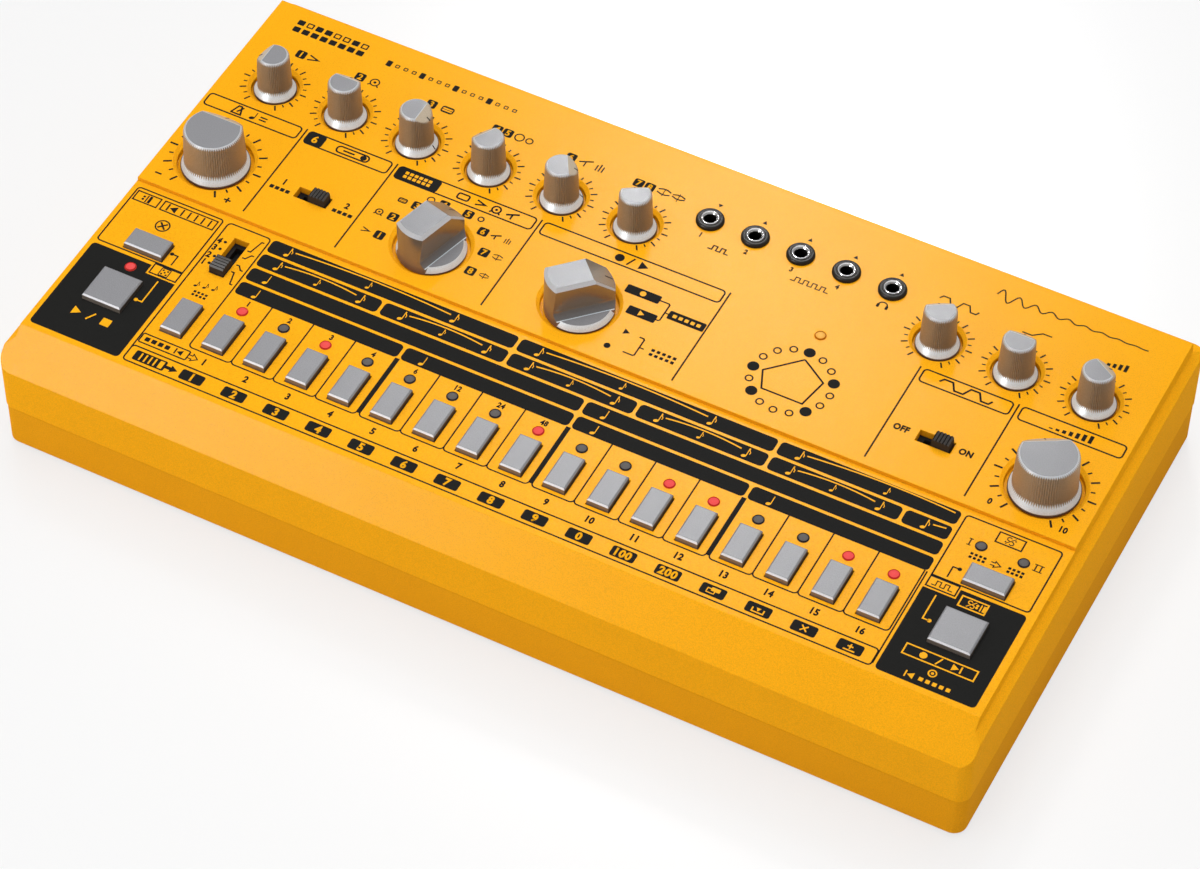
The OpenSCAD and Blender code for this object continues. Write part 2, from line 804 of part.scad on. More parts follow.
// what is cut off beside a selector's bar: above the half-moon of its skirt, down the bar's
// chamfered and slightly leaning wall, and into the hollow at the wall's foot
module beside_bar() {
    half = 5.2;
    edge = 1;
    waist = 4.4;
    ridge_x = 5.76;
    hollow = [8.6, 3.2];
    reach = large_skirt_r + 1;
    translate([0, 0, rear_z]) {
        difference() {
            box([ridge_x, -reach, skirt_rim], [reach, reach, knob_rise + 1]);
            translate([0, 0, skirt_rim])
                cylinder(r1 = large_skirt_r, r2 = large_skirt_r - 1.05, h = knurl_low - skirt_rim);
        }
        intersection() {
            translate([hollow[0], 0, hollow[1]]) rotate([90, 0, 0])
                cylinder(r = hollow[0] - waist, h = 2 * reach, center = true);
            box([0, -reach, -1], [ridge_x + eps, reach, knob_rise]);
        }
        rotate([90, 0, 0]) linear_extrude(2 * reach, center = true)
            polygon([[half - edge, knob_rise], [half, knob_rise - edge], [waist, hollow[1]],
                     [ridge_x + eps, hollow[1]], [ridge_x + eps, knob_rise + 1],
                     [half - edge, knob_rise + 1]]);
    }
}

// a bar-shaped selector: a drum cut away on both sides of a bar that ends in a pointer slope
module selector(i, angle) {
    top_r = large_skirt_r - 0.2;
    edge = 1;
    nose_d = 2.9;
    color(knob_colour) translate([column(i), large_row_y, 0]) rotate([0, 0, -angle]) {
        difference() {
            rotate_extrude() polygon([[0, rear_z + skirt_low], [large_skirt_r, rear_z + skirt_low],
                [top_r, rear_z + knob_rise - edge], [top_r - edge, rear_z + knob_rise],
                [0, rear_z + knob_rise]]);
            shaft_bore();
            pointer_cut(nose_d);
            beside_bar();
            mirror([1, 0, 0]) beside_bar();
        }
        shaft();
    }
}

module selector_instrument() { selector(3, 15); }
module selector_mode() { selector(5, 45); }

// ---- switch caps ----

// a cap that slides along X over a floor at z = low, with its tongue in the groove
module slide_cap(length, width, low, panel) {
    top = panel + cap_rise;
    run = length - 2 * end_slope;
    ribs = [for (k = [0:2 * rib_count]) [length / 2 - end_slope - run * k / (2 * rib_count),
                                         top - (k % 2 == 0 ? rib_depth : 0)
                                         - rib_crown * pow(k / rib_count - 1, 2)]];
    base = low + cap_lift;
    color(black_plastic) {
        rotate([90, 0, 0]) linear_extrude(width, center = true)
            polygon(concat([[-length / 2, base], [length / 2, base], [length / 2, panel + end_lift]],
                           ribs, [[-length / 2, panel + end_lift]]));
        box([-tongue_size[0] / 2, -tongue_size[1] / 2, low - tongue_reach],
            [tongue_size[0] / 2, tongue_size[1] / 2, base + eps]);
    }
}

module two_way(at) {
    translate([at[0] + two_way_travel / 2, at[1], 0])
        slide_cap(two_way_cap, slot_w - 2 * cap_gap, under_rear, rear_z);
}

module slider_select() { two_way(select_slot); }
module slider_distortion() { two_way(distortion_slot); }
module slider_scale() {
    translate([scale_slot[0], scale_slot[1] - scale_travel / 2, 0]) rotate([0, 0, 90])
        slide_cap(scale_cap[1], scale_cap[0], under_front, panel_z);
}

top_shell();
bottom_shell();
rubber_feet();
panel_board();
main_board();
board_header();
screws();
pot_bodies();
rotary_switch_bodies();
tact_switches();
slide_switch_bodies();
leds_lit();
leds_dark();
led_amber();
top_jack_sockets();
top_jack_nuts();
voice_jack_sockets();
output_jack();
midi_sockets();
usb_socket();
dc_inlet();
power_switch_body();
power_rocker();
step_button_01();
step_button_02();
step_button_03();
step_button_04();
step_button_05();
step_button_06();
step_button_07();
step_button_08();
step_button_09();
step_button_10();
step_button_11();
step_button_12();
step_button_13();
step_button_14();
step_button_15();
step_button_16();
function_button();
clear_button();
start_stop_button();
pattern_group_button();
write_next_button();
knob_accent();
knob_bass_drum();
knob_snare_drum();
knob_tom();
knob_cymbal();
knob_hi_hat();
knob_distortion();
knob_tone();
knob_level();
knob_tempo();
knob_volume();
selector_instrument();
selector_mode();
slider_select();
slider_scale();
slider_distortion();
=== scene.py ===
# %% [markdown]
# # A desktop drum machine
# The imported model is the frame: every case part, knob and key already stands at its real place.
# This lesson gives each of them its finish, swaps the plain knobs and keys for detailed ones, and
# prints the panels. Lengths on the machine are written in millimetres and turned into metres by
# `mm`. Lamps and the grain of a finish are given in metres.

# %% Load the frame
import bpy
import bmesh
import math
from mathutils import Matrix, Vector


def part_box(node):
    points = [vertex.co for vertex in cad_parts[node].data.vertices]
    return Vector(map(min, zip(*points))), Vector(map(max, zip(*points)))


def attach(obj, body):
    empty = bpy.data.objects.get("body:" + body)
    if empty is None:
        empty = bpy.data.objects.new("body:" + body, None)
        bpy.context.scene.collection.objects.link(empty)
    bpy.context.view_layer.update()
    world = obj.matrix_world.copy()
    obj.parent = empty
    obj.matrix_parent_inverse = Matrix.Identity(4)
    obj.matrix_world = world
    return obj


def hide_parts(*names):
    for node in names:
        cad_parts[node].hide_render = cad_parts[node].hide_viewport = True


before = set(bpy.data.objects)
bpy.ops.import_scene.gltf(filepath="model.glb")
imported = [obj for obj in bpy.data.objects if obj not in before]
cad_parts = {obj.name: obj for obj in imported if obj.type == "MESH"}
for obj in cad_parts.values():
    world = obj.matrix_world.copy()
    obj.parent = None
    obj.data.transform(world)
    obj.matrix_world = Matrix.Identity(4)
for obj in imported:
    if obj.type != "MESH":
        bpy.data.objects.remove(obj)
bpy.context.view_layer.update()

mm = 0.001

# %% [markdown]
# ## The camera
# The machine is seen from its front right corner, from well above and from more than a metre
# away, so a long lens keeps its edges nearly parallel. A camera could aim itself with a
# constraint, but three fixed angles are easier to read and never drift.

# %% Camera
camera_place = (364.6, -727.8, 957.2)
camera_turn = (40.410, -0.612, 27.372)
camera_lens = 128.93
camera_shift = (0.00104, -0.00106)

camera_data = bpy.data.cameras.new("view")
camera_data.lens = camera_lens
camera_data.sensor_width = 36
camera_data.shift_x, camera_data.shift_y = camera_shift
camera_data.clip_start, camera_data.clip_end = 0.05, 20
camera = bpy.data.objects.new("view", camera_data)
camera.location = [v * mm for v in camera_place]
camera.rotation_euler = [math.radians(v) for v in camera_turn]
bpy.context.scene.collection.objects.link(camera)
bpy.context.scene.camera = camera
bpy.context.scene.view_settings.view_transform = "Standard"
print("camera at", camera_place, "lens", camera_lens)

# %% [markdown]
# ## The levels and places that everything shares
# The printed panels, the keys and the knobs all hang on a few heights and a few rows. They could
# be typed in again, but here they are read from the frame, so the print can never drift away from
# the keys. The front panel lies one step lower than the rear one.

# %% Levels and rows
panel_step = 1.2
rear_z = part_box("top_jack_nuts")[0].z / mm
front_z = rear_z - panel_step
key_pitch = 13.7


def centre(node):
    """The middle of a node's box, in millimetres."""
    low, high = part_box(node)
    return (low + high) / 2 / mm


first_step_x = centre("step_button_01").x
knob_row_y = centre("knob_accent").y
large_row_y = centre("knob_tempo").y


def step_x(i):
    """Where step key number i stands along the row."""
    return first_step_x + key_pitch * (i - 1)


print("panels at", round(front_z, 2), round(rear_z, 2), "step one at", round(first_step_x, 2))

# %% [markdown]
# ## Two helpers for shader nodes
# A finish is a small network of nodes. Each node could be made, filled in and wired line by line,
# but that is mostly repetition. One helper makes a node with its values, and another draws wires.

# %% Make and wire nodes
def add(tree, kind, values=None, **settings):
    """A new node of a kind, with its settings and the values of its sockets filled in."""
    node = tree.nodes.new("ShaderNode" + kind)
    for setting, value in settings.items():
        setattr(node, setting, value)
    for socket, value in (values or {}).items():
        node.inputs[socket].default_value = value
    return node


def wire(tree, *pairs):
    """Draw a wire from the first to the second socket of each pair."""
    for source, target in pairs:
        tree.links.new(source, target)


def direct_rays(tree):
    """1 for rays of the camera and for rays that mirrors or clear parts send on, else 0."""
    path = add(tree, "LightPath")
    camera_or_mirror = add(tree, "Math", operation="MAXIMUM")
    any_direct = add(tree, "Math", operation="MAXIMUM")
    wire(tree, (path.outputs["Is Camera Ray"], camera_or_mirror.inputs[0]),
         (path.outputs["Is Glossy Ray"], camera_or_mirror.inputs[1]),
         (camera_or_mirror.outputs[0], any_direct.inputs[0]),
         (path.outputs["Is Transmission Ray"], any_direct.inputs[1]))
    return any_direct.outputs[0]


print("node helpers ready")

# %% [markdown]
# ## A white room
# The machine stands in a white studio. If the room's white also lit the machine in full, every
# shadow would wash out. So the world looks white to the camera, to mirrors and to clear parts, and
# lights everything else at half of that.

# %% World
white = (1, 1, 1, 1)
room_light = 0.5

world = bpy.data.worlds.new("studio")
bpy.context.scene.world = world
world.use_nodes = True
room = world.node_tree
dim_room = room.nodes["Background"]
dim_room.inputs["Color"].default_value = white
dim_room.inputs["Strength"].default_value = room_light
white_room = add(room, "Background", {"Color": white, "Strength": 1.0})
chosen = add(room, "MixShader")
wire(room, (direct_rays(room), chosen.inputs[0]), (dim_room.outputs[0], chosen.inputs[1]),
     (white_room.outputs[0], chosen.inputs[2]),
     (chosen.outputs[0], room.nodes["World Output"].inputs["Surface"]))
print("room lights at", room_light)

# %% [markdown]
# ## Lamps
# Product light is broad and soft: one big panel overhead for the even top, and a weak one from
# the front left for the sloping edge. Two small bright panels add only gleams to glossy places,
# and one wide spot lifts the middle of the case and adds no gleam. A single sun would be simpler,
# but it would draw hard shadows.

# %% Softboxes and the middle spot
def aimed(name, data, place, aim):
    """A lamp at a place, turned toward the point that it aims at."""
    lamp = bpy.data.objects.new(name, data)
    lamp.location = place
    lamp.rotation_euler = (Vector(aim) - Vector(place)).to_track_quat("-Z", "Y").to_euler()
    bpy.context.scene.collection.objects.link(lamp)
    return lamp


def softbox(name, place, aim, size, power):
    """A flat, evenly bright panel; size is in metres and power in watts."""
    data = bpy.data.lights.new(name, "AREA")
    data.shape = "RECTANGLE"
    data.size, data.size_y = size
    data.energy = power
    return aimed(name, data, place, aim)


overhead = softbox("overhead", (-0.03, 0.24, 1.5), (0, 0, 0), (1.5, 1.5), 12.3)
front_fill = softbox("front_fill", (-0.52, -0.46, 0.3), (-0.1, -0.05, 0.02), (0.5, 0.4), 0.55)
back_gleam = softbox("back_gleam", (-0.3226, 0.842, 0.957), (0.02, 0.06, 0.043), (0.2, 0.2), 30)
front_gleam = softbox("front_gleam", (-0.62, -0.93, 0.73), (-0.05, 0, 0.04), (0.4, 0.4), 50)
for gleam in (back_gleam, front_gleam):
    gleam.visible_diffuse = False

spot_data = bpy.data.lights.new("middle_spot", "SPOT")
spot_data.energy = 19
spot_data.spot_size = math.radians(30)
spot_data.spot_blend = 1
spot_data.shadow_soft_size = 0.25
middle_spot = aimed("middle_spot", spot_data, (-0.08, -0.5, 1.4), (-0.02, 0, 0.05))
middle_spot.visible_glossy = False
lamps = (overhead, front_fill, back_gleam, front_gleam, middle_spot)
print("lamps", [lamp.name for lamp in lamps])

# %% [markdown]
# ## Colour with clouds and specks
# Moulded plastic is never one flat colour: it is a little lighter and darker in soft clouds and
# from grain to grain. An image could hold that, but it blurs close up. Noise on object coordinates
# stays sharp, and its grain has a real size in metres.

# %% Speckled colour
mottling = 0.04
cloud_scale = 30


def linear(rgb):
    """A colour written from 0 to 255, as the linear colour that a shader expects."""
    return tuple(((c / 255 + 0.055) / 1.055) ** 2.4 if c > 10 else c / 255 / 12.92
                 for c in rgb) + (1,)


def noise(tree, place, scale, detail):
    """Noise that reads its place on the object, so that its grain has a real size."""
    grains = add(tree, "TexNoise", {"Scale": scale, "Detail": detail})
    wire(tree, (place.outputs["Object"], grains.inputs["Vector"]))
    return grains.outputs["Fac"]


def speckled(tree, place, rgb, grain, speckle):
    """The colour between a darker and a lighter tone, times specks of one grain's size."""
    tones = [[min(1, c * share) for c in linear(rgb)[:3]] + [1]
             for share in (1 - mottling, 1 + mottling)]
    clouded = add(tree, "MixRGB", {1: tones[0], 2: tones[1]})
    specks = add(tree, "MapRange", {"From Min": 0.3, "From Max": 0.7, "To Min": 1 - speckle,
                                    "To Max": 1 + speckle})
    dotted = add(tree, "MixRGB", {0: 1}, blend_type="MULTIPLY")
    wire(tree, (noise(tree, place, cloud_scale, 3), clouded.inputs[0]),
         (noise(tree, place, 1 / grain, 1), specks.inputs["Value"]),
         (clouded.outputs[0], dotted.inputs[1]), (specks.outputs["Result"], dotted.inputs[2]))
    return dotted.outputs[0]


print("clouds at scale", cloud_scale)

# %% [markdown]
# ## Dark corners
# In the narrow gap between a key and its window hardly any light comes back out. The lamps alone
# show that too weakly in a bright room, so the case's colour darkens where walls stand close.

# %% Crevice shade
def shaded_corners(tree, colour, reach):
    """Darken the colour where another face stands closer than reach."""
    openness = add(tree, "AmbientOcclusion", {"Distance": reach}, samples=6)
    shade = add(tree, "MapRange", {"From Min": 0.1, "From Max": 0.6, "To Min": 0.25})
    darkened = add(tree, "MixRGB", {0: 1}, blend_type="MULTIPLY")
    wire(tree, (openness.outputs["AO"], shade.inputs["Value"]), (colour, darkened.inputs[1]),
         (shade.outputs["Result"], darkened.inputs[2]))
    return darkened.outputs[0]


print("crevice shade ready")

# %% [markdown]
# ## One recipe for every finish
# Every finish is one Principled shader: its colour, a roughness that varies a little, and a fine
# bump for the moulding texture. Its plain specular reflection is left out, and a thin coat gives
# the gloss, because a coat's weight is easy to set. A Bevel node softens the look of sharp
# edges on the case, whose mesh is left as it is.

# %% A moulded or painted finish
rough_spread = 0.06


def finish(name, rgb, roughness, grain=0.0003, bump=0.1, metallic=0.0, specular=0.0, edge=0.0,
           speckle=0.06, crevice=0.0, gloss=0.0):
    """A material; grain, edge and crevice are lengths in metres, and the others are shares."""
    material = bpy.data.materials.new(name)
    material.use_nodes = True
    tree = material.node_tree
    shader = tree.nodes["Principled BSDF"]
    shader.inputs["Metallic"].default_value = metallic
    shader.inputs["Specular IOR Level"].default_value = specular
    shader.inputs["Coat Weight"].default_value = gloss
    shader.inputs["Coat Roughness"].default_value = roughness
    place = add(tree, "TexCoord")
    colour = speckled(tree, place, rgb, grain, speckle)
    if crevice:
        colour = shaded_corners(tree, colour, crevice)
    grains = noise(tree, place, 1 / grain, 2)
    rough = add(tree, "MapRange", {"To Min": roughness - rough_spread,
                                   "To Max": roughness + rough_spread})
    height = add(tree, "Bump", {"Strength": bump, "Distance": grain})
    if edge:
        rounded = add(tree, "Bevel", {"Radius": edge}, samples=6)
        wire(tree, (rounded.outputs["Normal"], height.inputs["Normal"]))
    wire(tree, (colour, shader.inputs["Base Color"]), (grains, rough.inputs["Value"]),
         (rough.outputs["Result"], shader.inputs["Roughness"]), (grains, height.inputs["Height"]),
         (height.outputs["Normal"], shader.inputs["Normal"]),
         (height.outputs["Normal"], shader.inputs["Coat Normal"]))
    return material


print("finish recipe ready")

# %% [markdown]
# ## The case and its print
# The upper shell is a warm yellow-orange plastic with a fine grain, and the lower shell is the
# same plastic a shade deeper. The print is matt black ink, and yellow where it lies on black.

# %% Case and ink finishes
case_orange = finish("case_orange", (250, 173, 25), 0.15, grain=0.00035, bump=0.12, edge=0.0004,
                     speckle=0.09, crevice=0.0008, gloss=0.02)
base_orange = finish("base_orange", (236, 160, 24), 0.2, grain=0.00035, bump=0.12, edge=0.0004,
                     speckle=0.08, gloss=0.02)
print_black = finish("print_black", (35, 35, 34), 0.4, bump=0.05, gloss=0.003)
print_yellow = finish("print_yellow", (250, 176, 26), 0.3, bump=0.05, gloss=0.02)
print("case and ink finishes ready")

# %% [markdown]
# ## Grey keys and slide caps
# The keys are painted a silky grey. Their walls catch the orange of the panel, so they are half
# metallic, and their colour is darker and warmer as painted shade and painted reflection. The
# right walls are darker still and all under the panel is nearly black, both painted shade, and the
# front edge of each top is a pale line as a painted highlight. The slide caps are black plastic
# with finger ribs, whose near flank is painted a little paler as a highlight and the far one
# darker as shade.

# %% Key and cap finishes
key_grey = finish("key_grey", (135, 135, 138), 0.26, bump=0.2, speckle=0.08, gloss=0.16)
# The walls of a key: half metallic, and their darker, warmer colour is painted shade and
# reflection.
key_side = finish("key_side", (140, 129, 119), 0.4, bump=0.08, metallic=0.5)
# The right walls of a key: a darker copy of the grey as painted shade.
key_shade = finish("key_shade", (88, 80, 73), 0.4, bump=0.08, metallic=0.4)
# The front edge of a key's top: a pale copy of its grey as a painted highlight.
key_edge_highlight = finish("key_edge_highlight", (226, 226, 230), 0.3, bump=0.05, gloss=0.06)
# What stands under the panel: nearly black as painted shade in the gap.
key_gap_shade = finish("key_gap_shade", (46, 42, 40), 0.6, bump=0.08)
cap_black = finish("cap_black", (56, 51, 47), 0.4, gloss=0.15)
# The ribs' near flank is paler as a painted highlight, and their far flank darker as painted
# shade.
cap_lit_flank = finish("cap_lit_flank", (74, 71, 68), 0.4, gloss=0.1)
cap_shaded_flank = finish("cap_shaded_flank", (36, 33, 31), 0.5)
print("key and cap finishes ready")

# %% [markdown]
# ## Grey knobs
# A knob is one painted grey part, but it reads as several tones: a plain top, ribbed walls that
# mirror the panel, a bright crest and skirt, and shade under its foot and in its hollows. Each of
# these has its own finish, so that its tone can be set by itself. The walls' warm tint is a
# painted reflection of the orange panel, the bright crest, edge and skirt are painted highlights,
# and the foot and hollows are painted shade.

# %% Knob finishes
knob_grain = 0.00025
knob_grey = finish("knob_grey", (139, 139, 142), 0.15, knob_grain, bump=0.16, speckle=0.08,
                   gloss=0.11)
# Ribs: half metallic, so they mirror the panel, and their warm tint is a painted reflection of it.
knob_rib = finish("knob_rib", (184, 170, 150), 0.36, bump=0.08, metallic=0.5, speckle=0.08)
# The crest chamfers of a knurled knob: a pale copy of the grey as a painted highlight.
knob_edge = finish("knob_edge", (196, 198, 202), 0.32, knob_grain, bump=0.08, gloss=0.3)
# Selector walls: half metallic, with a warm tint as a painted reflection of the panel.
knob_wall = finish("knob_wall", (150, 140, 128), 0.16, knob_grain, bump=0.06, metallic=0.55)
# The skirt: a pale, cool copy of the grey as a painted highlight.
knob_skirt_highlight = finish("knob_skirt_highlight", (214, 223, 230), 0.3, knob_grain, bump=0.08, metallic=0.12,
                    speckle=0.1, gloss=0.07)
# The hollows of a selector: a darker copy of the grey as painted shade.
knob_hollow_shade = finish("knob_hollow_shade", (112, 111, 111), 0.4, bump=0.05)
# The crests of a selector: a paler copy of the grey as a painted highlight.
knob_crest_highlight = finish("knob_crest_highlight", (184, 184, 187), 0.35, knob_grain, bump=0.06, gloss=0.04)
# The rim and ledge at a knob's foot: dark as painted shade.
knob_foot_shade = finish("knob_foot_shade", (104, 88, 72), 0.5, bump=0.05)
knob_mark = finish("knob_mark", (60, 58, 58), 0.5, bump=0.05)
print("knob finishes ready")

# %% [markdown]
# ## Sockets, boards and other fittings
# The trigger sockets are chromed and their nuts are black. What sits behind and under the panel
# is mostly black plastic, steel and green board. Chrome is fully metallic, so its colour is what
# it mirrors, and it takes no coat.

# %% Fitting finishes
socket_chrome = finish("socket_chrome", (186, 186, 189), 0.2, bump=0.0, metallic=1.0,
                       specular=0.5)
# The mouth and bore are the socket's own chrome, painted darker, and nearly black in the bore, as
# painted shade.
mouth_shaded_chrome = finish("mouth_shaded_chrome", (140, 139, 138), 0.14, bump=0.0, metallic=1.0, specular=0.5)
socket_bore_shade = finish("socket_bore_shade", (40, 38, 36), 0.3, bump=0.0, metallic=1.0, specular=0.5)
nut_black = finish("nut_black", (38, 35, 32), 0.32, bump=0.05, gloss=0.12)
black_plastic = finish("black_plastic", (36, 35, 35), 0.5, gloss=0.03)
rubber_black = finish("rubber_black", (28, 28, 28), 0.75, bump=0.2, specular=0.2)
screw_steel = finish("screw_steel", (170, 170, 172), 0.3, metallic=1.0, specular=0.5)
board_green = finish("board_green", (30, 92, 48), 0.35, bump=0.05, specular=0.5)
control_green = finish("control_green", (60, 105, 75), 0.45, specular=0.5)
print("fitting finishes ready")

# %% [markdown]
# ## Lights
# The red lamps are frosted domes in a rim of the same colour. A lit one could hold a lamp, but the
# glow of so small a dome lights nothing around it, so a weak emission in its own shader is enough.

# %% Lens and rim finishes
lens_lit = finish("lens_lit", (160, 46, 46), 0.3, bump=0.02, gloss=0.02)
lit_shader = lens_lit.node_tree.nodes["Principled BSDF"]
lit_shader.inputs["Emission Color"].default_value = linear((228, 88, 86))
lit_shader.inputs["Emission Strength"].default_value = 0.66
lens_dark = finish("lens_dark", (102, 98, 96), 0.4, bump=0.02, gloss=0.01)
lens_amber = finish("lens_amber", (240, 180, 84), 0.3, bump=0.02, gloss=0.05)
rim_red = finish("rim_red", (196, 52, 44), 0.4, bump=0.02, gloss=0.02)
rim_dark = finish("rim_dark", (52, 48, 48), 0.4, bump=0.02, gloss=0.02)
rim_amber = finish("rim_amber", (186, 106, 8), 0.4, bump=0.02, gloss=0.02)
print(len(bpy.data.materials), "finishes in the file")

# %% [markdown]
# ## Parts that keep their shape
# The shells, boards, screws and sockets behind the panel are right as they come, because their
# edges are sharp or out of sight. They only need a finish. It takes the place of the plain one in
# their first slot, and the list of slots isn't cleared, because that would reset the faces' slots.

# %% Dress the carried-over nodes
def paint(piece, *looks):
    """Put the finishes on a piece's slots in order; the first takes the place of its plain one."""
    slots = piece.data.materials
    if slots:
        slots[0] = looks[0]
    else:
        slots.append(looks[0])
    for look in looks[1:]:
        slots.append(look)


carried = {
    "top_shell": case_orange, "bottom_shell": base_orange, "rubber_feet": rubber_black,
    "panel_board": board_green, "main_board": board_green, "board_header": black_plastic,
    "screws": screw_steel, "pot_bodies": control_green, "rotary_switch_bodies": black_plastic,
    "tact_switches": black_plastic, "slide_switch_bodies": black_plastic,
    "voice_jack_sockets": black_plastic, "output_jack": black_plastic,
    "midi_sockets": black_plastic, "usb_socket": socket_chrome, "dc_inlet": black_plastic,
    "power_switch_body": black_plastic, "leds_lit": lens_lit, "leds_dark": lens_dark,
    "led_amber": lens_amber,
}
for node_name, material in carried.items():
    paint(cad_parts[node_name], material)
print(len(carried), "nodes dressed")

# %% [markdown]
# ## From a bmesh to a piece
# Every new piece ends in the same way: its mesh gets a name and its finishes, and it is told which
# body it rides on and which plain node it stands for.
# Smooth pieces also get sharp edges wherever two faces meet at more than a given angle.

# %% Finish a piece
def built(shape, name, looks, body, replaced=(), sharp=None, mesh=None):
    """Make a named, painted piece of a bmesh, which is used up."""
    mesh = mesh or bpy.data.meshes.new(name)
    mesh.name = name
    shape.to_mesh(mesh)
    shape.free()
    if sharp:
        mesh.shade_smooth()
        mesh.set_sharp_from_angle(angle=math.radians(sharp))
    piece = bpy.data.objects.new(name, mesh)
    paint(piece, *looks)
    bpy.context.scene.collection.objects.link(piece)
    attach(piece, body)
    if replaced:
        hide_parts(*replaced)
    return piece


print("piece helper ready")

# %% [markdown]
# ## Softened edges
# Keys, caps and selectors have the right shape in the frame already, but a moulded edge is never
# knife sharp. A copy of the solid is merged and its flat faces are cleaned, and a small live Bevel
# rounds its edges, so that each edge catches a line of light. The long edges of a selector's nose
# are bevelled wider first, as a crest that is painted paler as a highlight.

# %% Soften a solid's edges
weld_gap = 0.002
flat_angle = 1
crest_width = 0.55
rounded_from = 25


def cleaned_copy(node):
    """A copy of a node's mesh, and a bmesh of it with its loose triangles merged to faces."""
    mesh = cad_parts[node].data.copy()
    shape = bmesh.new()
    shape.from_mesh(mesh)
    bmesh.ops.remove_doubles(shape, verts=shape.verts, dist=weld_gap * mm)
    bmesh.ops.dissolve_limit(shape, angle_limit=math.radians(flat_angle), verts=shape.verts,
                             edges=shape.edges, delimit=set())
    return mesh, shape


def softened(node, looks, width, look=None, crest=None):
    """The node with rounded edges; look picks each face's finish, and crest the wide bevels."""
    mesh, shape = cleaned_copy(node)
    if crest:
        bmesh.ops.bevel(shape, geom=[edge for edge in shape.edges if crest(edge)],
                        offset=crest_width * mm, offset_type="OFFSET", segments=1, profile=0.5,
                        affect="EDGES", material=-1)
    if look:
        for face in shape.faces:
            face.material_index = look(face)
    piece = built(shape, node + "_moulded", looks, node, (node,), mesh=mesh)
    mesh.shade_flat()
    rounding = piece.modifiers.new("edges", "BEVEL")
    rounding.width = width * mm
    rounding.segments = 2
    rounding.limit_method = "ANGLE"
    rounding.angle_limit = math.radians(rounded_from)
    rounding.harden_normals = False
    return piece


print("bevels start at", rounded_from, "degrees")

# %% [markdown]
# ### Keys
# A key is a rounded block with a grey top. Its finish changes from face to face as painted
# highlight and shade, which could be painted in an image, but a rule that reads each face's
# direction is shorter and never slips.

# %% Soften the keys
under_panel = 1


def key_look(face):
    """Top 0, walls 1, right walls 4 and all under the panel 3 as painted shade, front edge 2 as a
    painted highlight.
    """
    if face.calc_center_median().z / mm < front_z - under_panel:
        return 3
    if face.normal.z > 0.95:
        return 0
    if face.normal.z > 0.3:
        return 2 if face.normal.y < -0.3 else 0
    return 4 if face.normal.x > 0.5 else 1


key_nodes = ["step_button_%02d" % i for i in range(1, 17)]
key_nodes += ["function_button", "clear_button", "start_stop_button", "pattern_group_button",
              "write_next_button"]
for node_name in key_nodes:
    softened(node_name, (key_grey, key_side, key_edge_highlight, key_gap_shade, key_shade), 0.1,
             key_look)
print(len(key_nodes), "keys softened")

# %% [markdown]
# ### Slide caps
# The caps of the slide switches are small blocks with finger ribs. The ribs are in the solid
# already. They could be left in one black, but a near flank painted paler as a highlight and a far
# flank painted darker as shade make them readable from afar.

# %% Soften the caps
def cap_look(face):
    """The near flank of each finger rib is 1, a painted highlight, its far flank 2, painted shade,
    and the rest of a cap 0.
    """
    if not 0.5 < face.normal.z < 0.97:
        return 0
    return 1 if face.normal.x - face.normal.y > 0 else 2


cap_nodes = ("slider_select", "slider_scale", "slider_distortion")
for node_name in cap_nodes:
    softened(node_name, (cap_black, cap_lit_flank, cap_shaded_flank), 0.06, cap_look)
print(len(cap_nodes), "caps softened")

# %% [markdown]
# ### Bar selectors
# A selector is a round skirt with a tall bar across it, which slopes down to a pointed nose and is
# hollowed where the fingers hold it. Its parts are told apart by height and tilt, counted from the
# rear panel, and each gets the finish that its place on a knob calls for: pale skirt chamfers and
# crests as painted highlights, a dark foot and hollows as painted shade, and walls with a warm
# tint as a painted reflection of the panel.

# %% Soften the selectors
knob_top, skirt_low, skirt_rim, knurl_low = 13.0, -2.0, -1.45, 0.3
hollow_rise = 3.2
small_face = 40
wall_face = 80


def nose_edge(edge):
    """The edges between the sloped nose of a bar and its two long walls."""
    if len(edge.link_faces) != 2:
        return False
    if min(f.calc_area() for f in edge.link_faces) < wall_face * mm * mm:
        return False
    tilts = sorted(abs(f.normal.z) for f in edge.link_faces)
    return tilts[0] < 0.2 and 0.6 < tilts[1] < 0.85


def selector_look(face):
    """Tops 0, walls and nose 1, painted highlights on skirt chamfers 2 and crests 4, painted shade
    on foot 3 and hollows 5.
    """
    middle = face.calc_center_median().z / mm - rear_z
    tilt = face.normal.z
    if middle < skirt_rim:
        return 3
    if tilt > 0.95:
        return 0
    if middle < knurl_low and 0.3 < tilt < 0.8:
        return 2
    if knurl_low < middle < knurl_low + hollow_rise and tilt > 0.1:
        return 5
    if tilt > 0.3 and face.calc_area() < small_face * mm * mm:
        return 4
    return 1


selector_angles = {"selector_instrument": 15, "selector_mode": 45}
for node_name in selector_angles:
    softened(node_name, (knob_grey, knob_wall, knob_skirt_highlight, knob_foot_shade, knob_crest_highlight, knob_hollow_shade),
             0.16, selector_look, crest=nose_edge)
print(len(selector_angles), "selectors softened")

# %% [markdown]
# ### The power rocker
# The rocker at the back is one plain black block, so it needs neither a second finish nor a wide
# crest. Its edges are rounder than a key's, because a finger pushes on them.

# %% Soften the rocker
rocker = softened("power_rocker", (black_plastic,), 0.25)
print(rocker.name, "softened")

# %% [markdown]
# ## Knurled knobs
# A knob is a turned form with fine ribs. It could be cut with a boolean, but a stack of rings is
# lighter: each ring is extruded from the last and set to its place, and on the ribbed stretch
# every other point is pulled in. The ribs run out on the skirt, which gives them pointed ends.

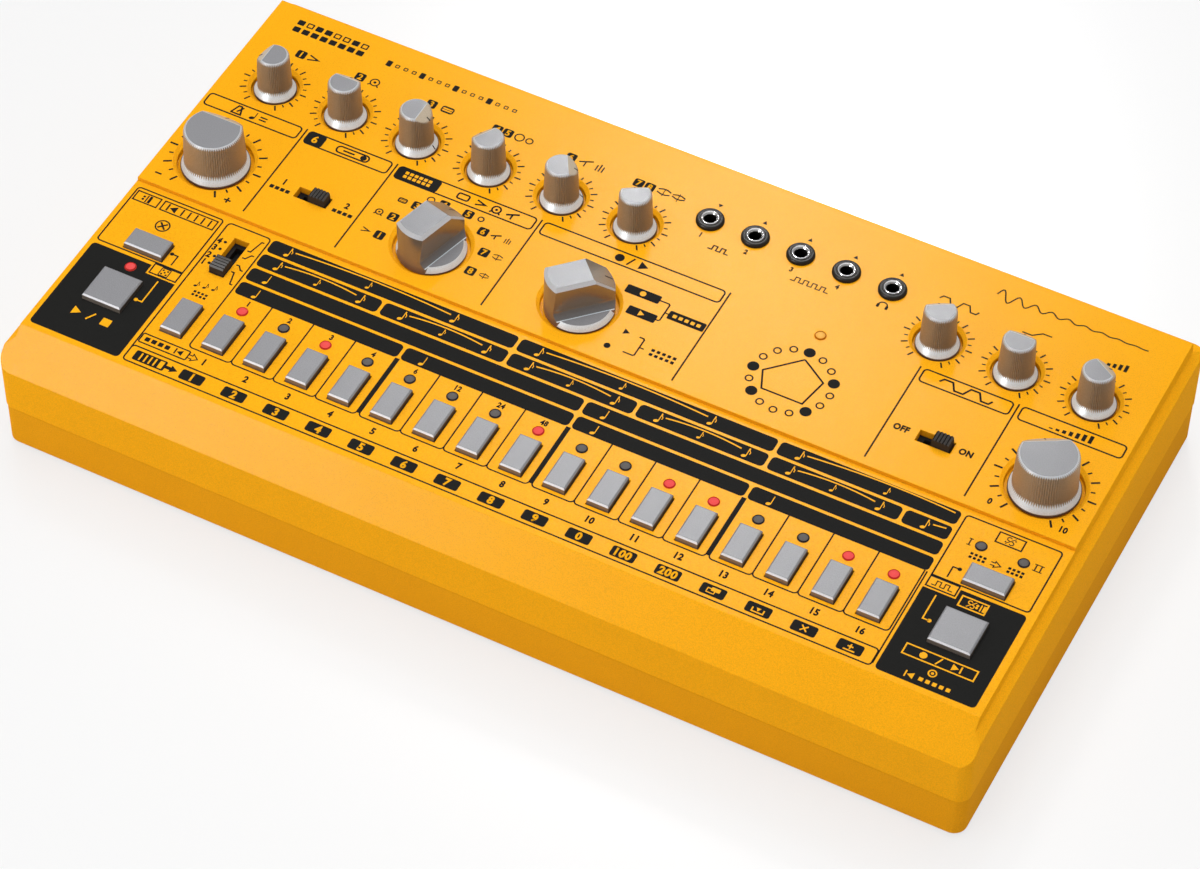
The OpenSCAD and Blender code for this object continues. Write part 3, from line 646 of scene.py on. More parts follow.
# %% Rings with teeth
def ring_of(shape, count):
    """The first ring of a stack: its points in order, and its edges."""
    made = bmesh.ops.create_circle(shape, cap_ends=False, radius=1, segments=count)
    edges = dict.fromkeys(e for v in made["verts"] for e in v.link_edges)
    return made["verts"], list(edges)


def place_ring(verts, z, radius, tooth, lean):
    """Set a ring: its odd points lie deeper by tooth, and higher by lean times that depth."""
    for k, v in enumerate(verts):
        angle = 2 * math.pi * k / len(verts)
        depth = tooth if k % 2 else 0
        r = radius - depth
        v.co = Vector((r * math.cos(angle), r * math.sin(angle), z + lean * depth)) * mm


def stacked(rings, teeth):
    """Extrude a ring from the last for each row: height, radius, tooth, lean and finish."""
    shape = bmesh.new()
    verts, edges = ring_of(shape, 2 * teeth)
    place_ring(verts, *rings[0][:4])
    bmesh.ops.contextual_create(shape, geom=edges)
    for z, radius, tooth, lean, look in rings[1:]:
        made = bmesh.ops.extrude_edge_only(shape, edges=edges)["geom"]
        verts = [g for g in made if isinstance(g, bmesh.types.BMVert)]
        edges = [g for g in made if isinstance(g, bmesh.types.BMEdge)]
        for face in [g for g in made if isinstance(g, bmesh.types.BMFace)]:
            face.material_index = look
        verts.sort(key=lambda v: math.atan2(v.co.y, v.co.x) % (2 * math.pi))
        place_ring(verts, z, radius, tooth, lean)
        edges = [e for e in edges if e.verts[0] in verts and e.verts[1] in verts]
    for face in bmesh.ops.contextual_create(shape, geom=edges)["faces"]:
        face.material_index = 0
    return shape


print("ring helpers ready")

# %% [markdown]
# ### From a ring stack to a knob
# The stack runs from the shaft up: under the skirt, round its rim, over the skirt to a small
# ledge at its foot, up the ribs, and over the crest to the flat top. The rim and ledge are
# painted dark as shade, and the skirt and crest pale as highlights. One plane then cuts the slope
# that shows where the knob points, and a second one the fine chamfer on the slope's upper edge,
# which is pale as a painted highlight.

# %% Build a knurled knob
rib_depth, foot_depth, crest_depth = 0.55, 0.75, 0.6
foot_top = -1.15
foot_inset = 0.28
shaft_r = 3.0
shaft_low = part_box("knob_tempo")[0].z / mm - rear_z
under_skirt = skirt_low + 0.9
rib_middle = 6.3
pointer_slope = math.radians(42)
chamfer_back = 0.12


def standing(at, angle):
    """The place of a knob on the rear panel, turned clockwise by an angle in degrees."""
    place = Matrix.Translation(Vector((at[0], at[1], rear_z)) * mm)
    return place @ Matrix.Rotation(math.radians(-angle), 4, "Z")


def knurled(name, at, angle, skirt_r, rib_r, top_r, teeth, cut_d):
    """A ribbed knob whose slope starts cut_d from its axis, at its top."""
    slant = (knurl_low - foot_top) / (skirt_r - foot_inset - rib_r)
    # Finish 1 is the ribs, 2 the crest's painted highlight, 3 the painted shade of rim and ledge,
    # 4 the skirt's painted highlight.
    rings = [(shaft_low, shaft_r, 0, 0, 1), (under_skirt, shaft_r, 0, 0, 1),
             (under_skirt, skirt_r - 1.0, 0, 0, 1), (skirt_low, skirt_r - 0.9, 0, 0, 1),
             (skirt_low, skirt_r - 0.2, 0, 0, 3), (skirt_low + 0.2, skirt_r, 0, 0, 3),
             (foot_top - 0.1, skirt_r, 0, 0, 3), (foot_top, skirt_r - 0.1, 0, 0, 3),
             (foot_top, skirt_r - 0.22, 0, 0, 3), (foot_top + 0.1, skirt_r - foot_inset, 0, 0, 4),
             (knurl_low, rib_r, foot_depth, slant, 4),
             (rib_middle, (rib_r + top_r) / 2, rib_depth, 0, 1),
             (knob_top - 0.85, top_r, crest_depth, 1.2, 1),
             (knob_top - 0.08, top_r - 0.67, 0, 0, 2), (knob_top, top_r - 0.8, 0, 0, 2)]
    shape = stacked(rings, teeth)
    for reach, lean, look in ((cut_d, pointer_slope, 1),
                              (cut_d - chamfer_back, pointer_slope / 2, 2)):
        whole = shape.verts[:] + shape.edges[:] + shape.faces[:]
        made = bmesh.ops.bisect_plane(shape, geom=whole, clear_outer=True,
                                      plane_co=Vector((0, reach, knob_top)) * mm,
                                      plane_no=(0, math.sin(lean), math.cos(lean)))
        rim = [g for g in made["geom_cut"] if isinstance(g, bmesh.types.BMEdge)]
        for face in bmesh.ops.contextual_create(shape, geom=rim)["faces"]:
            face.material_index = look
    bmesh.ops.recalc_face_normals(shape, faces=shape.faces)
    bmesh.ops.transform(shape, matrix=standing(at, angle), verts=shape.verts)
    return built(shape, name + "_knurled", (knob_grey, knob_rib, knob_edge, knob_foot_shade, knob_skirt_highlight),
                 name, (name,), sharp=18)


print("shaft starts at", round(shaft_low, 2), "from the rear panel")

# %% [markdown]
# ### A line that shows where a knob points
# The pointer is a fine dark line down the slope, and a short one on the skirt goes on from it.
# Each could be a stripe in the knob's finish, but a thin bar that lies on the surface has sharp
# ends, and it turns with the knob.

# %% Pointer lines
line_width, line_height = 0.36, 0.1


def pointer_line(name, suffix, at, start, end, angle):
    """A thin bar on the knob, from start to end, each given as distance out and height."""
    shape = bmesh.new()
    bmesh.ops.create_cube(shape, size=1)
    out, up = end[0] - start[0], end[1] - start[1]
    bmesh.ops.scale(shape, vec=(line_width, math.hypot(out, up), line_height), verts=shape.verts)
    bmesh.ops.rotate(shape, cent=(0, 0, 0), matrix=Matrix.Rotation(math.atan2(up, out), 3, "X"),
                     verts=shape.verts)
    bmesh.ops.translate(shape, verts=shape.verts,
                        vec=(0, (start[0] + end[0]) / 2, (start[1] + end[1]) / 2))
    bmesh.ops.transform(shape, matrix=standing(at, angle) @ Matrix.Scale(mm, 4),
                        verts=shape.verts)
    return built(shape, name + suffix, (knob_mark,), name)


def slope_line(name, at, cut_d, start, end, angle):
    """The line that runs down the slope, between two distances from the knob's axis."""
    fall = math.tan(pointer_slope)
    pointer_line(name, "_line", at, (start, knob_top - (start - cut_d) * fall),
                 (end, knob_top - (end - cut_d) * fall), angle)


print("lines are", line_width, "wide")

# %% [markdown]
# ### The eleven knobs
# Nine small knobs and two large ones share one recipe and differ only in their sizes. The angles
# are where each one points, clockwise from the back.

# %% Turn the knobs
small_knob = dict(skirt_r=6.55, rib_r=5.3, top_r=4.85, teeth=56, cut_d=1.85)
large_knob = dict(skirt_r=10.4, rib_r=9.35, top_r=8.8, teeth=80, cut_d=4.85)
small_angles = {"knob_accent": -90, "knob_bass_drum": 0, "knob_snare_drum": 90, "knob_tom": -60,
                "knob_cymbal": 60, "knob_hi_hat": -30, "knob_distortion": -30, "knob_tone": 0,
                "knob_level": 32}
large_angles = {"knob_tempo": 0, "knob_volume": -30}
selector_cut = 2.9

# Sizes, the slope line's two ends, and the skirt line's two ends as distance out and height.
for angles, sizes, slope_ends, skirt_ends in (
        (small_angles, small_knob, (3.7, 4.8), ((5.35, 0.23), (6.25, -1.0))),
        (large_angles, large_knob, (7.0, 8.8), ((9.4, 0.22), (10.1, -1.0)))):
    for node_name, angle in angles.items():
        at = centre(node_name)
        knurled(node_name, at, angle, **sizes)
        slope_line(node_name, at, sizes["cut_d"], *slope_ends, angle)
        pointer_line(node_name, "_skirt_line", at, *skirt_ends, angle)
for node_name, angle in selector_angles.items():
    slope_line(node_name, centre(node_name), selector_cut, 7.6, 9.9, angle)
print(len(small_angles) + len(large_angles), "knobs turned")

# %% [markdown]
# ## Turned parts: socket nuts and lips
# Round fittings are turned parts, so each is one closed profile spun a full turn. The black nut
# has a stepped, rounded top, and the chrome lip is a small ring round the hole. A profile is a
# list of distances from the axis and heights above the panel.

# %% Spin a closed profile
socket_pitch = 14.65


def turned(name, profile, places, look, steps=48, replaced=()):
    """Spin the profile round the upright axis at each place, all in one piece of the case."""
    shape = bmesh.new()
    for x, y, z in places:
        loop = [shape.verts.new((x + r, y, z + h)) for r, h in profile]
        edges = [shape.edges.new((loop[k - 1], loop[k])) for k in range(len(loop))]
        bmesh.ops.spin(shape, geom=loop + edges, cent=(x, y, 0), axis=(0, 0, 1),
                       angle=2 * math.pi, steps=steps, use_merge=True)
    bmesh.ops.remove_doubles(shape, verts=shape.verts, dist=0.0005)
    bmesh.ops.recalc_face_normals(shape, faces=shape.faces)
    bmesh.ops.scale(shape, vec=(mm, mm, mm), verts=shape.verts)
    piece = built(shape, name, (look,), "case", replaced, sharp=40)
    print(name, "turned at", len(places), "places")
    return piece


jack_places = [(6.7 + socket_pitch * i, centre("top_jack_nuts").y, rear_z) for i in range(5)]
nut_profile = [(2.72, 0.0), (4.22, 0.0), (4.24, 0.5), (4.18, 0.82), (4.02, 1.1), (3.78, 1.28),
               (3.56, 1.34), (3.42, 1.31), (3.34, 1.22), (3.22, 1.22), (3.14, 1.32), (3.02, 1.4),
               (2.88, 1.43), (2.76, 1.38), (2.72, 1.3)]
turned("trigger_socket_nuts", nut_profile, jack_places, nut_black,
       replaced=("top_jack_nuts",))
lip_profile = [(2.38, 0.9), (2.38, 1.46), (2.43, 1.53), (2.5, 1.56), (2.58, 1.53), (2.64, 1.44),
               (2.7, 1.25), (2.7, 0.9)]
turned("trigger_socket_lips", lip_profile, jack_places, socket_chrome)

# %% [markdown]
# ## Socket mouths
# The hole of a socket opens in a small funnel that guides the plug in. It could be spun as a piece
# of its own, but then two walls would share one place. So the rim of each bore in the copied solid
# is bevelled instead. The bevel's profile is below a half, which makes it hollow like a funnel: a
# round one mirrors the lamps as a white ring. The bore's chrome is painted nearly black as shade,
# and the mouth a darker chrome than the lip as painted shade, though brighter than the bore.

# %% Countersink the sockets
socket_r, mouth_depth = 1.75, 0.6
rim_slack = 0.1
funnel_profile = 0.35


def countersunk(node, places, bore_r, depth):
    """The socket bodies with the mouth of each bore turned out to a funnel."""
    mesh, shape = cleaned_copy(node)

    def off_axis(point):
        return min(math.hypot(point.x / mm - x, point.y / mm - y) for x, y, z in places)

    top = max(v.co.z for v in shape.verts)
    mouths = [edge for edge in shape.edges
              if all(abs(v.co.z - top) < 0.01 * mm and off_axis(v.co) < bore_r + rim_slack
                     for v in edge.verts)]
    bmesh.ops.bevel(shape, geom=mouths, offset=depth * mm, offset_type="OFFSET", segments=3,
                    profile=funnel_profile, affect="EDGES", material=-1)
    # Mouth faces get the darker chrome and bore faces the near black, both painted shade.
    for face in shape.faces:
        if off_axis(face.calc_center_median()) < bore_r + depth and face.normal.z < 0.95:
            face.material_index = 2 if face.normal.z > 0.15 else 1
    print(node, "mouth edges", len(mouths))
    return built(shape, node + "_countersunk", (socket_chrome, socket_bore_shade, mouth_shaded_chrome), "case",
                 (node,), sharp=35, mesh=mesh)


countersunk("top_jack_sockets", jack_places, socket_r, mouth_depth)

# %% [markdown]
# ## Lamp rims
# Every lamp is a dome that stands in a thin rim. The lamps' places could be typed in, but they
# are in the frame already: each lamp is an island of its node's mesh, so its centre is read there.

# %% Find the lamps and turn their rims
rim_profile = [(1.44, -0.1), (1.76, -0.1), (1.76, 0.05), (1.7, 0.12), (1.6, 0.13), (1.5, 0.42),
               (1.44, 0.45)]
rim_steps = 32


def islands_of(sheet):
    """The groups of faces that hang together, in the order of their first faces."""
    reached, found = set(), []
    for first in sheet.faces:
        if first in reached:
            continue
        reached.add(first)
        island = [first]
        for face in island:
            for near in (f for e in face.edges for f in e.link_faces):
                if near not in reached:
                    reached.add(near)
                    island.append(near)
        found.append(island)
    return found


def lamp_centres(node):
    """The middle of each lamp's box, seen from above."""
    shape = bmesh.new()
    shape.from_mesh(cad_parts[node].data)
    bmesh.ops.remove_doubles(shape, verts=shape.verts, dist=0.001 * mm)
    found = []
    for island in islands_of(shape):
        points = [v.co for f in island for v in f.verts]
        found.append(((min(p.x for p in points) + max(p.x for p in points)) / 2 / mm,
                      (min(p.y for p in points) + max(p.y for p in points)) / 2 / mm))
    shape.free()
    return found


for name, node_name, level, look, slot in (
        ("lamp_rims_red", "leds_lit", front_z, rim_red, "red_lens_lit"),
        ("lamp_rims_dark", "leds_dark", front_z, rim_dark, "red_lens_dark"),
        ("lamp_rim_amber", "led_amber", rear_z, rim_amber, "amber_lens")):
    turned(name, rim_profile, [(x, y, level) for x, y in lamp_centres(node_name)], look,
           rim_steps)
print("rims spun in", rim_steps, "steps")

# %% [markdown]
# ## The printed panels
# On the machine itself the figures, boxes and lines are silk-screened: a film of ink on the
# moulded case. An image could carry them, but it blurs close up. Here every mark is a thin plate
# of ink with sharp edges. A sheet is one bmesh, drawn flat in millimetres, and it begins with
# boxes: a filled box is a grid whose corner points are bevelled, and an outline is its inset rim.

# %% Boxes on an ink sheet
ink_line = 0.46
fine_line = 0.44
corner_order = [(-1, -1), (1, -1), (1, 1), (-1, 1)]


def bar(sheet, x0, x1, y0, y1, r=0.0, corners=(1, 1, 1, 1)):
    """A filled box; corners tells which of its four corners are rounded, from lower left."""
    made = bmesh.ops.create_grid(sheet, x_segments=1, y_segments=1, size=0.5)["verts"]
    rounded = []
    for v in made:
        side = (1 if v.co.x > 0 else -1, 1 if v.co.y > 0 else -1)
        v.co = Vector((x1 if side[0] > 0 else x0, y1 if side[1] > 0 else y0, 0))
        if corners[corner_order.index(side)]:
            rounded.append(v)
    if r:
        made = bmesh.ops.bevel(sheet, geom=rounded, offset=r, offset_type="OFFSET", segments=5,
                               profile=0.5, affect="VERTICES", material=-1)["verts"]
    return made[0].link_faces[0]


def outline(sheet, x0, x1, y0, y1, r=0.0, width=ink_line, corners=(1, 1, 1, 1)):
    """The rim of a box, as wide as the line and inside the box's edge."""
    face = bar(sheet, x0, x1, y0, y1, r, corners)
    bmesh.ops.inset_region(sheet, faces=[face], thickness=width, use_even_offset=True,
                           use_boundary=True)
    bmesh.ops.delete(sheet, geom=[face], context="FACES_ONLY")


print("ink lines", ink_line, "and", fine_line, "wide")

# %% [markdown]
# ### Lines
# A printed line keeps its width round a bend. A curve with a bevel could draw it, but it would
# have to be converted. Here one edge, as long as the line is wide, is extruded from point to point
# and leans at each bend, as the joint in the corner of a door frame does.

# %% Lines on an ink sheet
sharpest_mitre = 0.3


def stroke(sheet, points, width=ink_line):
    """A line of even width through the points, mitred at its bends."""
    path = [Vector((p[0], p[1], 0)) for p in points]
    sides = []
    for k, p in enumerate(path):
        ahead = (path[min(k + 1, len(path) - 1)] - path[min(k, len(path) - 2)]).normalized()
        behind = (path[max(k, 1)] - path[max(k - 1, 0)]).normalized()
        way = (ahead + behind).normalized()
        across = Vector((-way.y, way.x, 0))
        across *= width / 2 / max(sharpest_mitre, way.dot(ahead))
        sides.append((p + across, p - across))
    left, right = sheet.verts.new(sides[0][0]), sheet.verts.new(sides[0][1])
    edge = sheet.edges.new((left, right))
    for one, other in sides[1:]:
        grown = bmesh.ops.extrude_edge_only(sheet, edges=[edge])["geom"]
        ends = [g for g in grown if isinstance(g, bmesh.types.BMVert)]
        edge = [g for g in grown if isinstance(g, bmesh.types.BMEdge)][0]
        ends.sort(key=lambda v: (v.co - left.co).length)
        ends[0].co, ends[1].co = one, other
        left = ends[0]


print("line helper ready")

# %% [markdown]
# ### Discs, triangles and arcs
# Discs and triangles are both filled circles: a triangle is one with three sides. An arc is a
# short edge spun round a centre, which closes on itself when it makes a full turn.

# %% Round marks on an ink sheet
arc_step = 9


def disc(sheet, x, y, r, stretch=1.0, tilt=0.0, sides=24):
    """A filled circle, or an oval that is stretched and then tilted."""
    place = Matrix.Translation((x, y, 0)) @ Matrix.Rotation(math.radians(tilt), 4, "Z")
    place = place @ Matrix.Diagonal((stretch, 1, 1, 1))
    bmesh.ops.create_circle(sheet, cap_ends=True, radius=r, segments=sides, matrix=place)


def wedge(sheet, x, y, r, turn=0.0):
    """A filled triangle with its point up, or turned clockwise."""
    place = Matrix.Translation((x, y, 0)) @ Matrix.Rotation(math.radians(-turn), 4, "Z")
    bmesh.ops.create_circle(sheet, cap_ends=True, radius=r, segments=3, matrix=place)


def arc(sheet, x, y, r, start=0, end=360, width=ink_line):
    """Part of a ring, in degrees clockwise from the top."""
    a = math.radians(start)
    inner, outer = [sheet.verts.new((x + s * math.sin(a), y + s * math.cos(a), 0))
                    for s in (r - width / 2, r + width / 2)]
    edge = sheet.edges.new((inner, outer))
    steps = max(3, int(abs(end - start) / arc_step))
    bmesh.ops.spin(sheet, geom=[inner, outer, edge], cent=(x, y, 0), axis=(0, 0, -1),
                   angle=math.radians(end - start), steps=steps, use_merge=end - start >= 360)


print("arcs step by", arc_step, "degrees")

# %% [markdown]
# ### Numbers
# Numbers come from Blender's built-in face. A text object could stay live, but it would not lie
# on a sheet with the other marks, so it is made a mesh, scaled to its height and centred.

# %% Figures on an ink sheet
def figures(sheet, words, x, y, height, squeeze=0.86, weight=0.045, spacing=1.08):
    """Numbers of a given height; squeeze narrows them and weight makes them bolder."""
    curve = bpy.data.curves.new("figures", "FONT")
    curve.body = words
    curve.resolution_u = 3
    curve.offset = weight
    curve.space_character = spacing
    holder = bpy.data.objects.new("figures", curve)
    letters = holder.to_mesh()
    low = Vector([min(v.co[k] for v in letters.vertices) for k in range(3)])
    high = Vector([max(v.co[k] for v in letters.vertices) for k in range(3)])
    scale = height / (high.y - low.y)
    letters.transform(Matrix.Translation((x, y, 0))
                      @ Matrix.Diagonal((scale * squeeze, scale, 1, 1))
                      @ Matrix.Translation(-(low + high) / 2))
    sheet.from_mesh(letters)
    holder.to_mesh_clear()
    bpy.data.objects.remove(holder)
    bpy.data.curves.remove(curve)


print("figure helper ready")

# %% [markdown]
# ### Press a sheet on its panel
# When a sheet is pressed, each of its islands is extruded to a slightly different height, so that
# no two marks share one plane where they cross. The ink is a few hundredths of a millimetre thick,
# and the light ink lies on top of the black.

# %% Press a sheet
ink_depth = 0.03
ink_steps = 7
ink_step = 0.001
light_lift = 0.035


def press(sheet, name, material, level):
    """Lay the sheet on the panel at this level, as thin plates that ride on the case."""
    found = islands_of(sheet)
    for k, island in enumerate(found):
        made = bmesh.ops.extrude_face_region(sheet, geom=island, use_keep_orig=True)["geom"]
        tops = [g for g in made if isinstance(g, bmesh.types.BMVert)]
        bmesh.ops.translate(sheet, verts=tops,
                            vec=(0, 0, ink_depth + ink_step * (k % ink_steps)))
    bmesh.ops.recalc_face_normals(sheet, faces=sheet.faces)
    place = Matrix.Translation((0, 0, level * mm)) @ Matrix.Scale(mm, 4)
    bmesh.ops.transform(sheet, matrix=place, verts=sheet.verts)
    piece = built(sheet, name, (material,), "case")
    print(name, len(found), "marks,", len(piece.data.polygons), "faces")
    return piece


print("ink is", ink_depth, "thick")

# %% [markdown]
# ### Small signs in place of words
# The front panel tells what each key does. Here that is done with plain signs that any reader
# knows: a triangle for play, a square for stop, a disc for record, notes, arrows and numbers.
# Each sign is a few marks on a sheet, drawn round its own centre.

# %% Signs for music
def note(sheet, x, y, top, size=1.0, flag=True):
    """A music note with its head centred at x, y and its stem up to a height."""
    disc(sheet, x, y, 0.5 * size, stretch=1.5, tilt=22)
    stem_x = x + 0.62 * size
    stroke(sheet, [(stem_x, y + 0.1), (stem_x, top)], 0.26 * size)
    if flag:
        stroke(sheet, [(stem_x + 0.1, top), (stem_x + 0.22 * size, top - 0.7 * size),
                       (stem_x + 0.75 * size, top - 1.4 * size),
                       (stem_x + 0.7 * size, top - 2.1 * size)], 0.24 * size)


def slur(sheet, x0, y0, x1, y1, rise, width=fine_line):
    """A shallow arch between two points, the tie between notes."""
    points = []
    for k in range(13):
        t = k / 12
        points.append((x0 + (x1 - x0) * t, y0 + (y1 - y0) * t + 4 * rise * t * (1 - t)))
    stroke(sheet, points, width)


def play(sheet, x, y, r):
    """A triangle that points right."""
    wedge(sheet, x - 0.15 * r, y, r, 90)


def cells(sheet, x, y, columns, rows, pitch, size, r=0.15):
    """A small grid of squares, the sign for steps and patterns."""
    for i in range(columns):
        for j in range(rows):
            cx = x + (i - (columns - 1) / 2) * pitch
            cy = y + (j - (rows - 1) / 2) * pitch
            bar(sheet, cx - size / 2, cx + size / 2, cy - size / 2, cy + size / 2, r)


def repeat_sign(sheet, x, y, h):
    """Two dots, a thin line and a thick line: go back and play again."""
    bar(sheet, x + 0.75, x + 1.6, y - h / 2, y + h / 2)
    bar(sheet, x - 0.05, x + 0.35, y - h / 2, y + h / 2)
    disc(sheet, x - 0.95, y + h * 0.19, 0.4)
    disc(sheet, x - 0.95, y - h * 0.19, 0.4)


def back_to_start(sheet, x, y, h):
    """A line and a triangle that points back at it."""
    bar(sheet, x - h * 0.78, x - h * 0.58, y - h / 2, y + h / 2)
    wedge(sheet, x + h * 0.1, y, h * 0.56, -90)


print("music signs ready")

# %% [markdown]
# ### Arrows, waves and crosses
# Arrows lead from one control to the next, and a square wave stands for a clock or a trigger. All
# of them are lines and triangles that are already at hand, so a sign is a list of its corners.

# %% Arrows and waves
arrow_line = 0.32


def hollow_arrow(sheet, x, y, length, half):
    """The outline of an arrow that points right from x; half is half its head's width."""
    stroke(sheet, [(x, y + half * 0.45), (x + length * 0.4, y + half * 0.45),
                   (x + length * 0.4, y + half), (x + length, y),
                   (x + length * 0.4, y - half), (x + length * 0.4, y - half * 0.45),
                   (x, y - half * 0.45)], arrow_line)


def solid_arrow(sheet, x, y, length, half, line=0.7):
    """A filled arrow that points right from x."""
    bar(sheet, x, x + length - half, y - line / 2, y + line / 2)
    wedge(sheet, x + length - half * 0.9, y, half, 90)


def pulse(sheet, x, y, w, h, width=fine_line, waves=2):
    """A square wave, the sign for a clock or trigger."""
    points, step = [], w / (2 * waves + 1)
    left = x - w / 2
    for k in range(waves):
        s = left + 2 * k * step
        points += [(s, y - h / 2), (s + step, y - h / 2), (s + step, y + h / 2),
                   (s + 2 * step, y + h / 2)]
    points += [(left + 2 * waves * step, y - h / 2), (x + w / 2, y - h / 2)]
    stroke(sheet, points, width)


def cross(sheet, x, y, r, width=0.5):
    """Two crossing strokes, the sign for clear."""
    stroke(sheet, [(x - r, y - r), (x + r, y + r)], width)
    stroke(sheet, [(x - r, y + r), (x + r, y - r)], width)


print("arrow signs ready")

# %% [markdown]
# ### Note bars
# Four rows of black bars run above the step keys, one row for each way of dividing the beat. Each
# row is one long bar that is broken after certain steps. Black ink and light ink are drawn on two
# sheets, because they are pressed in two colours.

# %% Note bars
front_ink = bmesh.new()
front_light = bmesh.new()
box_r = 1.3
half_break = 0.5

bar_left, bar_right = -102.3, 116.9
bar_rows = [(-14.8, -9.7, (6, 12)), (-20.9, -15.8, (3, 6, 9, 12, 15)), (-27.0, -21.9, (8,)),
            (-33.1, -28.0, (4, 8, 12))]
for low, high, breaks in bar_rows:
    left = bar_left
    for step in breaks:
        middle = step_x(step) + key_pitch / 2
        bar(front_ink, left, middle - half_break, low, high, box_r)
        left = middle + half_break
    bar(front_ink, left, bar_right, low, high, box_r)
print(len(bar_rows), "rows of note bars")

# %% [markdown]
# ### A frame round each step
# Every step key stands in a frame that is open at the top. Neighbours share a line, apart from
# every fourth one, where a heavy line marks the beat. The two lower corners are round.

# %% Step frames
cell_top, cell_low = -33.1, -57.0
cell_right = 116.1
for i in range(1, 17):
    left = step_x(i) - key_pitch / 2
    right = min(step_x(i) + key_pitch / 2, cell_right)
    heavy_left = i in (5, 9, 13)
    heavy_right = i in (4, 8, 12)
    x0 = left + (half_break if heavy_left else 0.0)
    x1 = right - (half_break if heavy_right else 0.0)
    low = [(x0 + box_r * (1 - math.cos(t)), cell_low + box_r * (1 - math.sin(t)))
           for t in [k * math.pi / 12 for k in range(7)]]
    high = [(x1 - box_r * (1 - math.cos(t)), cell_low + box_r * (1 - math.sin(t)))
            for t in [k * math.pi / 12 for k in range(6, -1, -1)]]
    stroke(front_ink, [(x0, cell_top)] + low + high + [(x1, cell_top)], fine_line)
    if heavy_right:
        bar(front_ink, right - 0.45, right + 0.45, cell_low + 0.9, cell_top)
stroke(front_ink, [(116.85, cell_top - 0.1), (116.85, -68.6)], fine_line)
print("step frames from", round(step_x(1), 2), "to", round(step_x(16), 2))

# %% [markdown]
# ### Notes and ties on the bars
# Light notes mark the beats on each bar, and ties join the groups. The pattern repeats every six
# or three steps, so the remainder of the step's number tells which note stands there. Notes in the
# middle of a group are smaller.

# %% Notes and ties
small_note = 0.74
for i in range(1, 17):
    x = step_x(i) - 0.1
    phase, third = (i - 1) % 6, (i - 1) % 3
    if phase in (0, 4):
        note(front_light, x, -13.5, -10.3)
    elif phase == 2:
        note(front_light, x - 0.45, -13.6, -11.2, small_note)
    if third == 1:
        note(front_light, x - 0.45, -19.6, -17.2, small_note)
    else:
        note(front_light, x, -19.6, -16.4)
    if i in (1, 9):
        note(front_light, x, -25.7, -22.6, flag=False)
    if i in (1, 5, 9, 13):
        note(front_light, x, -32.0, -28.9, flag=False)
for first in (1, 7, 13):
    last = min(first + 4, 16)
    end = step_x(last) - 1.5 if first < 13 else 115.2
    slur(front_light, step_x(first) + 2.1, -11.5, end, -11.4 if first < 13 else -10.8, 1.0)
for first in (1, 4, 7, 10, 13):
    slur(front_light, step_x(first) + 2.0, -17.5, step_x(first + 2) - 1.7, -17.5, 0.9)
stroke(front_light, [(step_x(16) + 2.2, -17.5), (115.2, -17.0)], fine_line)
print("notes on", len(bar_rows), "rows")

# %% [markdown]
# ### Numbers and the row of value boxes
# The steps are numbered below their keys, and clock rates stand above the first eight. A framed
# row of black boxes at the front edge holds the values from 1 to 200.

# %% Step numbers and value boxes
for i in range(1, 17):
    figures(front_ink, str(i), step_x(i) + 0.2, -60.1, 2.5)
for i, rate in enumerate(["1", "2", "3", "4", "6", "12", "24", "48"]):
    figures(front_ink, rate, step_x(i + 1) + 0.1, -35.0, 2.0)

outline(front_ink, -117.5, 116.85, -69.9, -63.4, box_r)
box_low, box_high, box_half, box_middle = -68.5, -64.8, 3.72, -66.65
row_words = ["1", "2", "3", "4", "5", "6", "7", "8", "9", "0", "100", "200"]
for i in range(1, 17):
    x = step_x(i) + 0.1
    bar(front_ink, x - box_half, x + box_half, box_low, box_high, 0.7)
    if i <= 12:
        figures(front_light, row_words[i - 1], x, box_middle, 2.9, squeeze=0.95)
print("value boxes with", len(row_words), "numbers")

# %% [markdown]
# ### Signs in the last four boxes
# Words would not fit these boxes in a way that every reader knows, so each holds a small drawing:
# two sheets for copy, a tray with an arrow for paste, a cross, and a stroke that pushes in.

# %% Copy, paste, delete and insert
box_line = 0.42
x, y = step_x(13) + 0.1, box_middle
outline(front_light, x - 1.9, x + 0.7, y - 1.1, y + 0.7, 0.2, 0.3)
bar(front_light, x - 0.7, x + 1.9, y - 0.1, y + 1.2, 0.2)
x = step_x(14) + 0.1
stroke(front_light, [(x - 1.7, y + 0.3), (x - 1.7, y - 1.1), (x + 1.7, y - 1.1),
                     (x + 1.7, y + 0.3)], box_line)
wedge(front_light, x, y + 0.1, 0.8, 180)
x = step_x(15) + 0.1
cross(front_light, x, y, 0.95, box_line)
x = step_x(16) + 0.1
stroke(front_light, [(x - 1.7, y - 1.1), (x + 1.7, y - 1.1)], box_line)
stroke(front_light, [(x, y + 1.1), (x, y - 0.6)], fine_line)
stroke(front_light, [(x - 0.85, y + 0.25), (x + 0.85, y + 0.25)], fine_line)
print("four signs drawn")

# %% [markdown]
# ### The start of the row
# Left of step one, a framed sign tells where the pattern's last step is set, and a black box with
# bar lines and an arrow starts the row of values.

